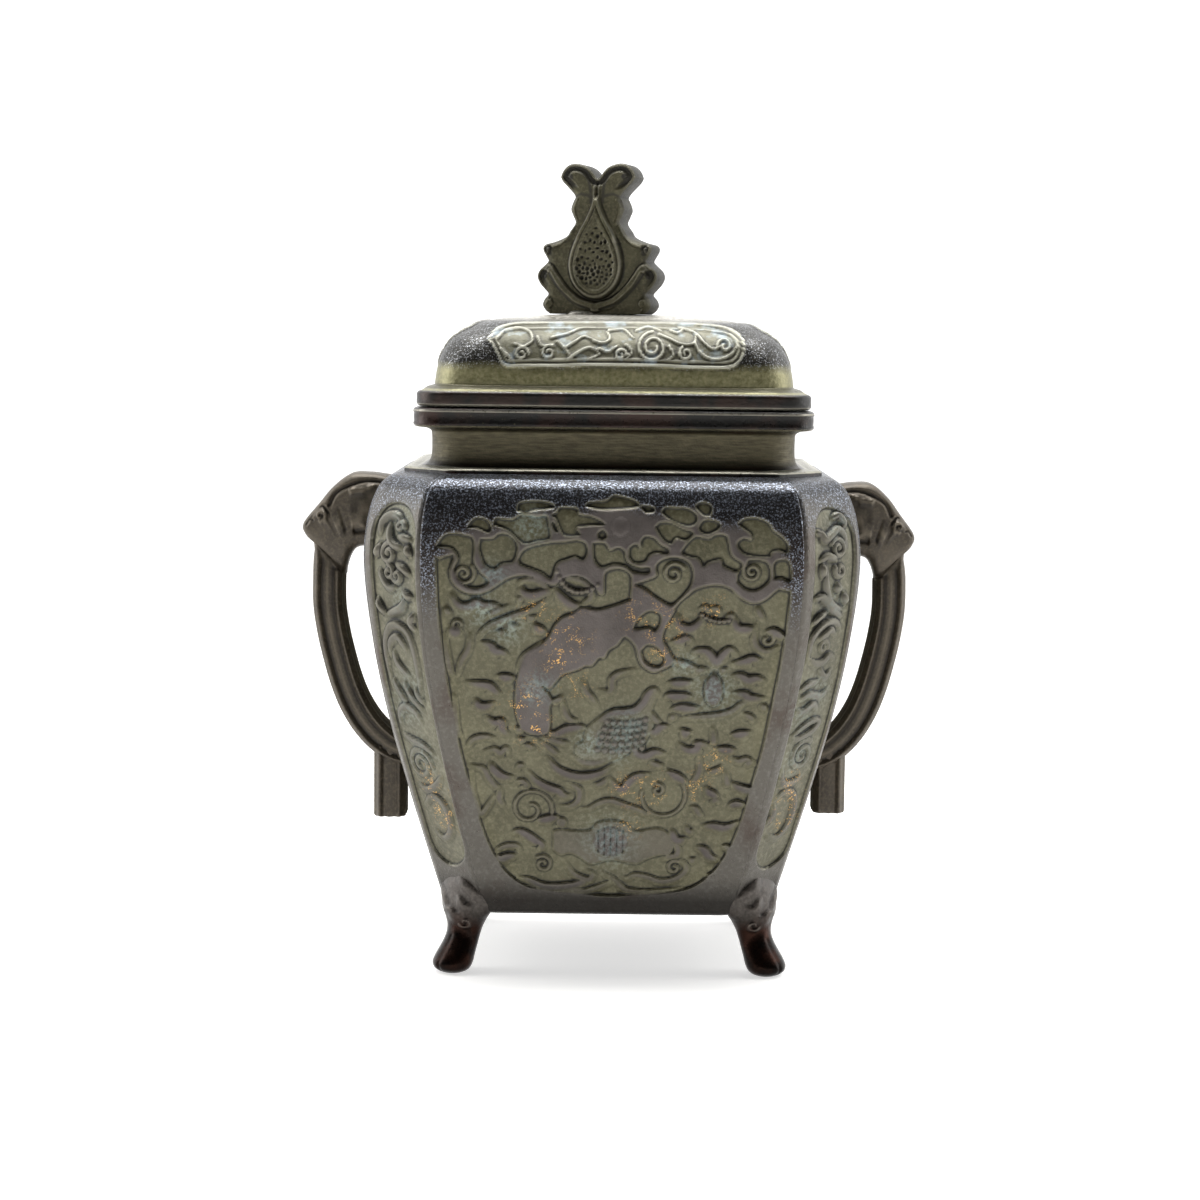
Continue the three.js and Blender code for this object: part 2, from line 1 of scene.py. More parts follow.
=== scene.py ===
import math

import bpy
import numpy as np
from mathutils import Euler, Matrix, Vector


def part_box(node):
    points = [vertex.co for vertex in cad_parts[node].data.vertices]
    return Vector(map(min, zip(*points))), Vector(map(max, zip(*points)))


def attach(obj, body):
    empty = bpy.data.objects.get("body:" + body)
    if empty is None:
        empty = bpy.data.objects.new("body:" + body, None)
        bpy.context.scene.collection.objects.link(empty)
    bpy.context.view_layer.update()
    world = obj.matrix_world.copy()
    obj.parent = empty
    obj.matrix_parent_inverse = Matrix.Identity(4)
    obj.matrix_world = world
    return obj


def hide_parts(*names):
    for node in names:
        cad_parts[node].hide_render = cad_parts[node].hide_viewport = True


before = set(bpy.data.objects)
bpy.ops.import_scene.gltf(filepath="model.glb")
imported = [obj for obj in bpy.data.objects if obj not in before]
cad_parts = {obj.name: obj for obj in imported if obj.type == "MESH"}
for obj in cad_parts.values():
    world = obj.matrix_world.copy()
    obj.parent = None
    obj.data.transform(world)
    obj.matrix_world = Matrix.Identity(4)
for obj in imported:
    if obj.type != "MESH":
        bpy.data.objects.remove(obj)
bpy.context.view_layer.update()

# Front of the vessel
# The whole vessel is one hollow bronze casting, and each of its faces is drawn as a skin of its own.
# The broad front has a sunk panel: a smooth olive ground, and ornament that stands up to the border.
# The wax model was carved, so lines swell and taper, and raised metal has worn to a purple brown.

foot_height = 16.0
body_height = 116.6
max_half_width = 64.3
depth_cut = 9.0
recess = 0.9
bottom_round = 1.2
arris_round = 0.4
skin_depth = 1.6
body_profile = np.array([
    [0.0, max_half_width - 20.6, 11.2],
    [0.17, max_half_width - 14.9, 12.0],
    [0.29, max_half_width - 11.0, 12.8],
    [0.47, max_half_width - 5.7, 13.8],
    [0.63, max_half_width - 2.2, 14.6],
    [0.80, max_half_width, 15.6],
    [0.90, max_half_width - 1.0, 15.0],
    [0.965, max_half_width - 3.6, 13.8],
    [0.99, max_half_width - 6.4, 13.0],
    [1.0, max_half_width - 9.6, 12.4],
])


def fair(table, place, column):
    """Cubic through the rows of a table; the slope at a row is that of the line between its neighbours."""
    rows, values = table[:, 0], table[:, column]
    last = len(rows) - 1
    x = np.clip(place, rows[0], rows[-1])
    i = np.clip(np.searchsorted(rows, x, side="right") - 1, 0, last - 1)
    low = np.maximum(np.arange(last + 1) - 1, 0)
    high = np.minimum(np.arange(last + 1) + 1, last)
    slope = (values[high] - values[low]) / (rows[high] - rows[low])
    span = rows[i + 1] - rows[i]
    t = (x - rows[i]) / span
    return ((2 * t**3 - 3 * t**2 + 1) * values[i] + (t**3 - 2 * t**2 + t) * span * slope[i]
            + (3 * t**2 - 2 * t**3) * values[i + 1] + (t**3 - t**2) * span * slope[i + 1])


def half_width(h):
    """Half width of the body at a height above its underside, with the bottom edge rounded as a parabola."""
    rounding = bottom_round * np.clip(1 - h / bottom_round, 0, 1) ** 2
    return fair(body_profile, h / body_height, 1) - rounding


def cant(h):
    """Width that the canted corner takes off each side at a height."""
    return fair(body_profile, h / body_height, 2)


def smooth_step(t):
    """3t^2 - 2t^3 between 0 and 1, flat outside."""
    t = np.clip(t, 0, 1)
    return t * t * (3 - 2 * t)


def line_through(points, steps=7):
    """Catmull-Rom curve: each span is the cubic whose end slopes are half the way between the neighbours."""
    p = np.array(points, float)
    p = np.vstack([2 * p[0] - p[1], p, 2 * p[-1] - p[-2]])
    t = np.linspace(0, 1, steps, endpoint=False)[:, None]
    spans = [0.5 * (2 * b + (c - a) * t + (2 * a - 5 * b + 4 * c - d) * t**2 + (3 * b - a - 3 * c + d) * t**3)
             for a, b, c, d in zip(p, p[1:], p[2:], p[3:])]
    return np.vstack([*spans, p[-2:-1]])


def spiral(u, h, radius, start, turns, eye=0.25):
    """Line that winds in from its outer end: the radius falls evenly while the angle turns."""
    t = np.linspace(0, 1, int(14 * abs(turns)) + 8)
    r = radius * (1 - (1 - eye) * t)
    angle = np.radians(start + 360 * turns * t)
    return np.stack([u + r * np.cos(angle), h + r * np.sin(angle)], 1)


def distance(u, h, line, reach):
    """Distance of each point to the nearest segment of a line, up to a reach; the share of the line there;
    and how much the point lies above the line: 1 straight above, 0 beside, -1 below."""
    best = np.full(u.shape, float(reach))
    share, lift = np.zeros(u.shape), np.zeros(u.shape)
    steps = len(line) - 1
    for first in range(0, steps, 8):
        part = line[first:first + 9]
        low, high = part.min(0) - reach, part.max(0) + reach
        near = (u > low[0]) & (u < high[0]) & (h > low[1]) & (h < high[1])
        if not near.any():
            continue
        p = np.stack([u[near], h[near]], 1)[:, None]
        a, along = part[:-1], part[1:] - part[:-1]
        t = np.clip(((p - a) * along).sum(2) / ((along**2).sum(1) + 1e-9), 0, 1)
        away = p - a - t[..., None] * along
        d = np.hypot(away[..., 0], away[..., 1])
        k = d.argmin(1)
        rows = np.arange(len(k))
        d = d[rows, k]
        closer = d < best[near]
        share[near] = np.where(closer, (first + k + t[rows, k]) / steps, share[near])
        lift[near] = np.where(closer, away[rows, k, 1] / (d + 1e-6), lift[near])
        best[near] = np.where(closer, d, best[near])
    return best, share, lift


def raise_line(relief, u, h, line, width, height, tip=0.6, edge=0.45):
    """Band along a line: full height to half its width, then an S slope; it narrows towards its tip."""
    d, share, _ = distance(u, h, line, width / 2 + edge)
    half = width / 2 * (1 - (1 - tip) * share)
    np.maximum(relief, height * smooth_step((half - d) / edge + 0.5), out=relief)


def raise_lip(relief, u, h, line, height, run=2.6):
    """Lip left by a scooping cut: it drops at once on its upper side and fades away over the run below.
    It is highest in the middle of the line and dies out at both ends."""
    d, share, lift = distance(u, h, line, run + 0.4)
    swell = 0.25 + 0.75 * np.sin(math.pi * np.clip(share, 0, 1)) ** 0.6
    fall = 0.4 + (run - 0.4) * (1 - lift) / 2 * swell
    np.maximum(relief, height * swell * (1 - smooth_step((d - 0.3) / fall)), out=relief)


def cut_line(relief, u, h, line, width, depth):
    """Groove along a line with an S-shaped wall."""
    d, _, _ = distance(u, h, line, width)
    relief -= depth * smooth_step(1 - d / (width / 2 + 0.15))


def raise_boss(relief, u, h, middle, radii, height, edge=0.3):
    """Low oval cushion: a flattened dome over the ellipse's own radius."""
    r = np.hypot((u - middle[0]) / radii[0], (h - middle[1]) / radii[1])
    lift = height * np.sqrt(np.clip(1 - r**3, 0, 1)) * smooth_step((1 - r) / edge)
    np.maximum(relief, lift, out=relief)


def inside(u, h, outline):
    """Crossing rule: inside is where a line to the right crosses the outline an odd number of times."""
    odd = np.zeros(u.shape, bool)
    for (u0, h0), (u1, h1) in zip(outline, np.roll(outline, -1, 0)):
        if h0 != h1:
            odd ^= ((h0 > h) != (h1 > h)) & (u < u0 + (h - h0) * (u1 - u0) / (h1 - h0))
    return odd


def blur(field, times):
    """Mean of a point and its neighbours along rows and columns, taken several times."""
    for _ in range(times):
        padded = np.pad(field, 1, mode="edge")
        field = (padded[1:-1, 1:-1] * 2 + padded[:-2, 1:-1] + padded[2:, 1:-1]
                 + padded[1:-1, :-2] + padded[1:-1, 2:]) / 6
    return field


def shape(u, h, outline, edge=0.55):
    """1 inside a closed outline and 0 outside it, with an S slope of the edge's width across the line."""
    low, high = outline.min(0) - edge, outline.max(0) + edge
    near = (u > low[0]) & (u < high[0]) & (h > low[1]) & (h < high[1])
    field = np.zeros(u.shape)
    d, _, _ = distance(u[near], h[near], np.vstack([outline, outline[:1]]), edge)
    signed = np.where(inside(u[near], h[near], outline), d, -d)
    field[near] = smooth_step(signed / edge + 0.5)
    return field


def sink_panel(u, h, outline, relief, depth=recess):
    """Offset of a skin with a sunk panel: the ground lies at the depth, the ornament rises from it.
    Also how raised each point is, how deep in the panel, and how proud it is of what surrounds it."""
    d, _, _ = distance(u, h, np.vstack([outline, outline[:1]]), 6.0)
    signed = np.where(inside(u, h, outline), d, -d)
    sunk = smooth_step(signed / 0.5 + 0.5)
    offset = -depth * sunk + relief * sunk
    level = 1 - sunk + np.clip(relief / depth, 0, 1.2) * sunk
    # How proud each point is of its surroundings: the materials paint creases dark as shade and proud edges pale
    # as rubbing with a painted highlight.
    wear = np.clip((offset - blur(offset, 5)) / 0.25, -1, 1)
    return offset, {"raised": level, "panel": smooth_step((signed + 0.4) / 5), "wear": wear}


def equal_levels(count):
    """Heights at equal steps of length along the body's profile."""
    h = np.linspace(0, body_height, 3000)
    run = np.concatenate([[0], np.cumsum(np.hypot(np.diff(half_width(h)), np.diff(h)))])
    return np.interp(np.linspace(0, run[-1], count), run, h)


def add_piece(name, points, faces, flat_from=None, **attributes):
    """Mesh object of points in millimetres; faces from flat_from on are shaded flat."""
    mesh = bpy.data.meshes.new(name)
    mesh.from_pydata((points * 0.001).tolist(), [], faces)
    smooth = np.ones(len(faces), bool)
    if flat_from is not None:
        smooth[flat_from:] = False
    mesh.polygons.foreach_set("use_smooth", smooth)
    for key, values in attributes.items():
        full = np.zeros(len(points), np.float32)
        full[:values.size] = values.ravel()
        mesh.attributes.new(key, "FLOAT", "POINT").data.foreach_set("value", full)
    piece = bpy.data.objects.new(name, mesh)
    bpy.context.scene.collection.objects.link(piece)
    return piece


def add_skin(name, place, half, levels, columns, relief_of):
    """Closed plate over a face: u = share * half(h) across, h up, place(u, h, offset) in space.
    Its back is a strip of the same heights, and its top and bottom are closed by one face each."""
    share = np.linspace(-1, 1, columns)
    h = np.repeat(levels[:, None], columns, 1)
    reach = half(h) - 0.383 * arris_round
    u = share[None] * reach
    offset, attributes = relief_of(u, h)
    from_edge = reach - np.abs(u)
    offset = offset - 0.924 * arris_round * np.clip(1 - from_edge / 1.5, 0, 1) ** 2
    front = place(u, h, offset)
    low = place(u[:, :1] * 0.97, h[:, :1], -skin_depth)
    high = place(u[:, -1:] * 0.97, h[:, -1:], -skin_depth)
    points = np.concatenate([front.reshape(-1, 3), low.reshape(-1, 3), high.reshape(-1, 3)])
    rows = len(levels)
    index = np.arange(rows * columns).reshape(rows, columns)
    left = rows * columns + np.arange(rows)
    right = left + rows
    quads = np.stack([index[:-1, :-1], index[:-1, 1:], index[1:, 1:], index[1:, :-1]], -1).reshape(-1, 4)
    strips = np.concatenate([
        np.stack([index[:-1, 0], index[1:, 0], left[1:], left[:-1]], 1),
        np.stack([index[:-1, -1], right[:-1], right[1:], index[1:, -1]], 1),
        np.stack([left[:-1], left[1:], right[1:], right[:-1]], 1),
    ])
    bottom = [int(index[0, 0]), int(left[0]), int(right[0]), *index[0, :0:-1].tolist()]
    top = [*index[-1].tolist(), int(right[-1]), int(left[-1])]
    faces = [*quads.tolist(), *strips.tolist(), bottom, top]
    return add_piece(name, points, faces, flat_from=len(quads), **attributes)


def broad_face(sign):
    """The front for sign -1 and the back for 1; u runs to the right of whoever faces it."""
    def place(u, h, out):
        return np.stack([-sign * u, sign * (half_width(h) - depth_cut + out), foot_height + h], -1)
    return place


def broad_half(h):
    return half_width(h) - cant(h)


panel_outline = line_through([
    (-45, 98), (-45.3, 101.5), (-42, 104), (-38.5, 105), (-35.5, 107.3), (-31.5, 106.5), (-28.5, 107.6),
    (-25.4, 108.6), (-24.6, 111.2), (-20, 111.9), (-15.5, 111), (-12, 109.8), (-8.2, 110.6), (-5, 112.3),
    (-0.5, 113.2), (5, 112.2), (9.8, 110.8), (13, 110.6), (18, 111.6), (22.5, 111.9), (25, 110.4),
    (26.6, 107.9), (30, 107.6), (34, 108.3), (38.5, 107.6), (42.6, 104.8), (45, 100.5), (45.4, 95),
    (44.6, 84), (43, 71), (41, 59.5), (39, 48), (36.5, 38), (34, 28), (31, 20), (27, 13.6), (21.5, 9.2),
    (14, 7.4), (6, 6.9), (0, 6.6), (-7, 7), (-15, 7.6), (-22, 9.2), (-27.6, 13.6), (-31.2, 20),
    (-34, 28), (-36.6, 38), (-39, 48), (-41, 59.5), (-43, 72), (-44.4, 85),
], 4)

# Clouds and curls sunk into the upper part, where the metal between them still stands at full height
upper_web = [
    (-47, 114), (-45.6, 97.5), (-40.4, 97.6), (-41.4, 93.5), (-40.6, 90.4), (-37.6, 88), (-34, 87.6),
    (-31, 88.7), (-28, 90.8), (-25, 92.2), (-21, 92.4), (-16.5, 90.4), (-14.5, 90.2), (-12, 92.2),
    (-8, 92.4), (-5, 90.2), (-3.6, 88.2), (-2.3, 88), (-2.2, 91), (-1.8, 93.6), (1.6, 94.6), (4.4, 93.2),
    (4.7, 90), (4.9, 86.2), (10, 84.4), (15, 84), (17, 86.2), (19.4, 88.2), (21, 89.4), (24, 90.4),
    (27, 90.6), (30, 89.6), (33, 87), (36, 86), (39, 87.2), (42, 89.8), (46, 91.2), (47, 114),
]
upper_hollows = [
    [(-37, 104.4), (-36, 106), (-34, 107.2), (-32, 106.4), (-30.9, 104.6), (-31.6, 103.2), (-34.6, 104.3)],
    [(-44.8, 99.6), (-43, 102.2), (-40.6, 103), (-37.6, 102.6), (-35.5, 101.8), (-35.1, 99), (-35.3, 96),
     (-33.6, 93.2), (-31.4, 90.8), (-34, 89.2), (-37, 89.6), (-39.2, 91.2), (-40.2, 94), (-39.2, 96.6),
     (-40.4, 98.8), (-42, 99.4)],
    [(-33.6, 101.6), (-30.5, 101.8), (-28.8, 103), (-26.4, 102.8), (-24.5, 101), (-24.3, 98.4),
     (-25.4, 95.9), (-28.2, 95.4), (-30, 94), (-32.4, 95), (-33.4, 97.2), (-34, 99.6)],
    [(-30.4, 105.2), (-29.8, 106.8), (-25.6, 106.6), (-23, 108), (-19.6, 107.4), (-17, 107.6),
     (-16.4, 105.6), (-16, 102), (-19, 101.2), (-22.4, 100.5), (-24.4, 101.8), (-27, 104)],
    [(-24.6, 108.8), (-23.9, 110.7), (-20.4, 111.3), (-16.4, 110.9), (-14.9, 109.8), (-17.4, 109.2),
     (-20, 109), (-22.4, 108.2)],
    [(-14.4, 108.6), (-13.4, 109.8), (-9.4, 109.6), (-8.7, 108.1), (-6, 107.7), (-3.4, 106.6),
     (-2.4, 105.5), (-6, 105.3), (-9.4, 104.7), (-8.4, 102.9), (-12, 102.6), (-13.3, 103.8), (-14.6, 106.8),
     (-15.6, 107.8)], [(-15.7, 106.2), (-14.7, 105.6), (-14, 103.6), (-15, 104)],
    [(-7.3, 110.2), (-6, 111.2), (-2, 111.5), (0, 112.9), (4, 112.2), (6, 111.2), (6.2, 110.2), (3, 109.6),
     (-3, 109.3), (-6, 109.8)], [(6.9, 109.9), (7.5, 110.5), (10, 110.1), (10.2, 109), (8.2, 108.7)],
    [(12.1, 108.8), (12.9, 110), (16, 110), (18, 110), (20, 109.2), (21.2, 107.8), (20.7, 106.1),
     (18.6, 105.4), (15.6, 106.3), (13.5, 107.5)],
    [(20.6, 110.4), (21.8, 111.4), (24, 111.2), (24.9, 110), (24.3, 108.2), (23, 108), (21.4, 109.3)],
    [(21.4, 105), (22.6, 106.8), (24.6, 107.1), (27, 106.1), (26.2, 104.6), (24, 103.5), (22.2, 103.9)],
    [(10.5, 105.2), (12, 106.3), (15, 106.2), (17.4, 104.9), (20.2, 103.8), (18.4, 101.9), (15.8, 102.4),
     (14.6, 100.9), (13, 101.6), (11.6, 103.2)],
    [(17.2, 99), (19, 101.5), (21, 102.9), (24, 102.4), (26, 103.4), (28.5, 103.2), (29.2, 101), (30, 98.2),
     (32.6, 96.2), (32.2, 94.6), (30.6, 94.3), (27.8, 95.6), (27.2, 97.1), (24, 96.3), (22.8, 95.3),
     (21.6, 97.2), (19.4, 97.7), (17.6, 98.4)],
    [(31.4, 106.1), (33, 107.4), (36, 107.7), (39, 106.6), (40.4, 104.6), (42.6, 103), (44.2, 101),
     (43.9, 99), (42, 99.6), (40, 99.1), (39.2, 97.9), (34, 98.3), (31.8, 99.8), (31.3, 101.4), (33, 102.6),
     (34.8, 102.2), (34.9, 103.4), (33.2, 104.8)],
    [(31.4, 91.6), (31.7, 94), (33.6, 95.6), (34.2, 97), (37, 97.2), (39.2, 96.2), (39.9, 93.4), (39, 91.2),
     (36.2, 89.4), (33.4, 89.8)],
    [(40.7, 92.4), (40.6, 96), (42, 97.2), (44.3, 97), (45, 94), (44.7, 91.8), (42.8, 92.6)],
    [(3.9, 97.6), (4.1, 99.8), (5.8, 100.8), (6.9, 99.8), (7, 101.6), (8.2, 102.8), (10.4, 102.3),
     (12, 100.8), (13.9, 99.6), (13.6, 98.3), (11, 98.7), (9.2, 98), (8.3, 96.5), (6.6, 95.9), (5, 96.2)],
    [(5.5, 90.6), (8, 89.5), (11, 87.3), (14.6, 85.4), (16.6, 86.6), (18.6, 88.8), (19.9, 91), (20.2, 94),
     (18.8, 96.6), (15.6, 97.6), (12.6, 97), (10.8, 95.2), (11, 92.8), (8.4, 91.6)],
    [(-5.2, 101), (-4.9, 97), (-3, 94.8), (0, 95.6), (3, 95.2), (5, 93.8), (8.8, 93.4), (9.2, 94.9),
     (6.6, 94.9), (3.6, 96.4), (2.8, 99), (1.2, 99.9), (-0.8, 99.2), (-2.2, 101)],
    [(-24.1, 96.5), (-23, 98.5), (-20.6, 99.9), (-16, 100.9), (-12, 101.2), (-9, 101.6), (-7, 100.8),
     (-6.5, 98.6), (-7.6, 96.6), (-9.6, 97.4), (-11.4, 96.8), (-14.2, 95.6), (-15.6, 91.8), (-18, 93.2),
     (-20.6, 94.2), (-23.4, 95.3)],
    [(-4, 103.5), (-2.6, 104.2), (-1.6, 102.8), (-2.6, 101.8), (-3.8, 102.2)],
]
# The beast stands at full height: back, tail and head, with two hollows in the head
beast_outline = [
    (5, 86.9), (0, 85), (-4, 84), (-7.8, 84.6), (-10, 83.1), (-12.6, 82), (-14.6, 80), (-16, 77.2),
    (-18.2, 74.8), (-21.4, 72.8), (-23, 70), (-24, 66.6), (-24.7, 62), (-24.5, 57), (-23, 52.4),
    (-20, 50.8), (-16.4, 51.2), (-15.6, 54), (-15.8, 58), (-15.2, 60.4), (-17.8, 64), (-15.8, 63.1),
    (-14.2, 65), (-12.4, 67), (-9.8, 67.8), (-7.8, 68.6), (-6.6, 69.3), (-5, 69.3), (-3.4, 71.3),
    (-1.9, 71.4), (-0.8, 73.4), (1.4, 74.8), (3.2, 77), (5.8, 74.6), (6.6, 71.6), (7.8, 69.4), (10.4, 67.8),
    (13, 68.6), (15.8, 70.6), (14.2, 74), (12.8, 76.6), (13.4, 79.4), (14.8, 82), (15.6, 84.6), (11, 86.6),
]
head_hollows = [
    [(5.3, 79.2), (6.6, 81.8), (9.4, 83.8), (12.2, 82.8), (12, 80.2), (10.6, 78.6), (8.2, 79), (5.8, 78.8)],
    [(7.3, 73.4), (9, 75), (11.6, 74.2), (13.4, 71.6), (12.6, 69.6), (10.4, 69.4), (8.2, 70.8)],
]
jewel_ground = [
    (-14.8, 24.4), (-13, 25), (-9, 24.6), (-5, 24.9), (-3.4, 26.8), (0, 27.6), (4, 26.9), (6.6, 24.7),
    (12, 25.6), (15, 24.4), (16.8, 21.4), (15.6, 18.2), (13, 18), (10, 17), (7, 15.5), (3, 16.2), (0, 16.6),
    (-4, 15.4), (-5.8, 15.6), (-8, 17.3), (-10.6, 18.3), (-12.8, 17.7), (-14.8, 19.2),
]
bowl_ground = [
    (-4, 55), (-1, 57.2), (4, 57.9), (7.4, 59.6), (9.6, 62.6), (11, 63.4), (11.6, 61.6), (10.2, 57.2),
    (11, 53.4), (9.6, 50.8), (8, 48), (5, 46.4), (1, 44.2), (-4, 43.4), (-8.6, 45), (-9, 48), (-7, 49.4),
    (-6.6, 52.6),
]
# Scooped cuts: strong ones leave a thick dark edge, light ones a thin line
strong_cuts = [
    [(-40.8, 87.6), (-40, 86), (-38.4, 84.9), (-36, 85.1), (-34.6, 86), (-33, 85.3), (-30, 84.9),
     (-28, 83.8)], [(-23.4, 89.6), (-22.4, 88.4), (-20.2, 88), (-17.4, 88.6), (-15.4, 88)],
    [(-14.8, 89.2), (-12.4, 87), (-10, 85.4), (-8.2, 85.2)], [(-20.2, 79.9), (-18.4, 79.1), (-17.1, 77.6)],
    [(-33.6, 75), (-31, 74.8), (-29.8, 73.6), (-28, 72.9), (-26.6, 71.6)],
    [(-37.2, 64.5), (-34, 64.5), (-31.4, 64.3), (-29.9, 62.8), (-28.6, 61.2)],
    [(-29.2, 66.2), (-27, 66.5), (-24.8, 65.8)], [(-35, 60), (-33.2, 58.8), (-30, 59.1)],
    [(-32.2, 55.4), (-30, 54.4), (-28.4, 54.6), (-27.8, 52.4), (-26.4, 50.6)],
    [(-31, 43), (-30, 41.6), (-28, 40), (-25, 39)],
    [(-21.4, 40.8), (-19.4, 38.8), (-17, 37.4), (-14.8, 36.6), (-13.4, 36), (-12.2, 34.7), (-10.2, 34.1)],
    [(-19, 27), (-17.4, 28), (-15, 28.6), (-13.2, 28)],
    [(-25.4, 23.8), (-23.6, 24.6), (-21.8, 24), (-19.6, 22.4), (-17.8, 20.8), (-18.4, 19)],
    [(-29.9, 17.6), (-28.4, 17.1), (-26.6, 17.7), (-24.4, 17.4)],
    [(-23.8, 11.3), (-21, 10.9), (-18, 9.7), (-15, 9.3), (-10, 9.7), (-7, 10.5), (-5, 11.6)],
    [(-3.4, 53.2), (-2.6, 55), (-0.6, 56.8), (1.4, 57.6), (5.6, 58.1), (8, 60), (9.4, 62.4), (10.8, 63.4),
     (12, 61.8)], [(-16.4, 51.2), (-14, 51.6), (-11.4, 53), (-8.4, 53.4), (-6.6, 52.6)],
    [(5.6, 48.4), (6.8, 46.4), (9, 46.1), (11.4, 46.9), (14.2, 45.8)],
    [(9.6, 51.6), (11.4, 52.5), (12.6, 53.7), (14.8, 53.3)],
    [(15, 75.6), (17.4, 76.6), (18.8, 77.2), (20.3, 75.8)],
    [(20.5, 72.2), (21.6, 73.7), (24, 73.9), (25.4, 72.7), (26.7, 71.3), (28.4, 73.3), (30, 74.3),
     (31.8, 72.7)], [(30.6, 70.2), (34, 71.5), (35.8, 72.1), (37.8, 71.1)],
    [(14.6, 64.9), (17, 65.6), (20.8, 65.3)], [(13.8, 61), (15, 62), (18, 62.1), (20.6, 61.4)],
    [(15.4, 57.8), (17.4, 59), (20, 58.9), (22.6, 58.3)],
    [(30.8, 67.1), (33, 67.5), (34.8, 66.7), (37, 66.9), (39, 65.8)],
    [(31.2, 62.5), (34, 62.7), (35.4, 61.9), (39, 61.2)], [(30.8, 51.2), (33, 52.1), (35.8, 52.2)],
    [(17.8, 52.6), (20.6, 51.8)], [(17.4, 48.8), (19.6, 47.6), (21.8, 47.9), (22.6, 49.3), (25.4, 48.2)],
    [(27, 47.5), (29.8, 47.9), (32, 47)],
    [(-0.4, 39.2), (2, 37), (3.4, 37), (5, 39), (7, 40.3), (10.4, 40.4)],
    [(14.4, 41.5), (17.4, 40.3), (19.6, 38.2)], [(31.2, 38.2), (33.6, 37.5), (36, 36.9), (37.2, 37.2)],
    [(24.4, 36.9), (26.4, 35.7), (27.8, 34.2)], [(30.8, 31.6), (32.6, 33.1), (35, 32.2)],
    [(24, 26.3), (27, 26.9), (30, 26.5), (33.6, 27.6)], [(15.8, 25.2), (17.4, 23), (19.8, 22.5)],
    [(22.6, 20.4), (24.6, 20.2), (26, 18.4), (28.4, 16.8)], [(25.6, 12.4), (28, 13.4), (29.8, 15.2)],
    [(16.2, 83), (17, 80.7), (19.4, 79.9), (21.4, 80.7), (23.2, 82.4)],
    [(30.6, 82.4), (31.8, 80.3), (34.4, 79.8), (36, 79.6)], [(5, 78.9), (7, 78.6), (9, 79), (10.9, 77.9)],
    [(39.2, 78.7), (41, 79.3), (42.6, 78.2), (43.6, 76.8)], [(-41.2, 79.2), (-40, 78.1), (-38.6, 79)],
    [(-16.4, 44.6), (-13.6, 41.9), (-9, 40.3), (-3.6, 40.6), (0.4, 42.6)],
]
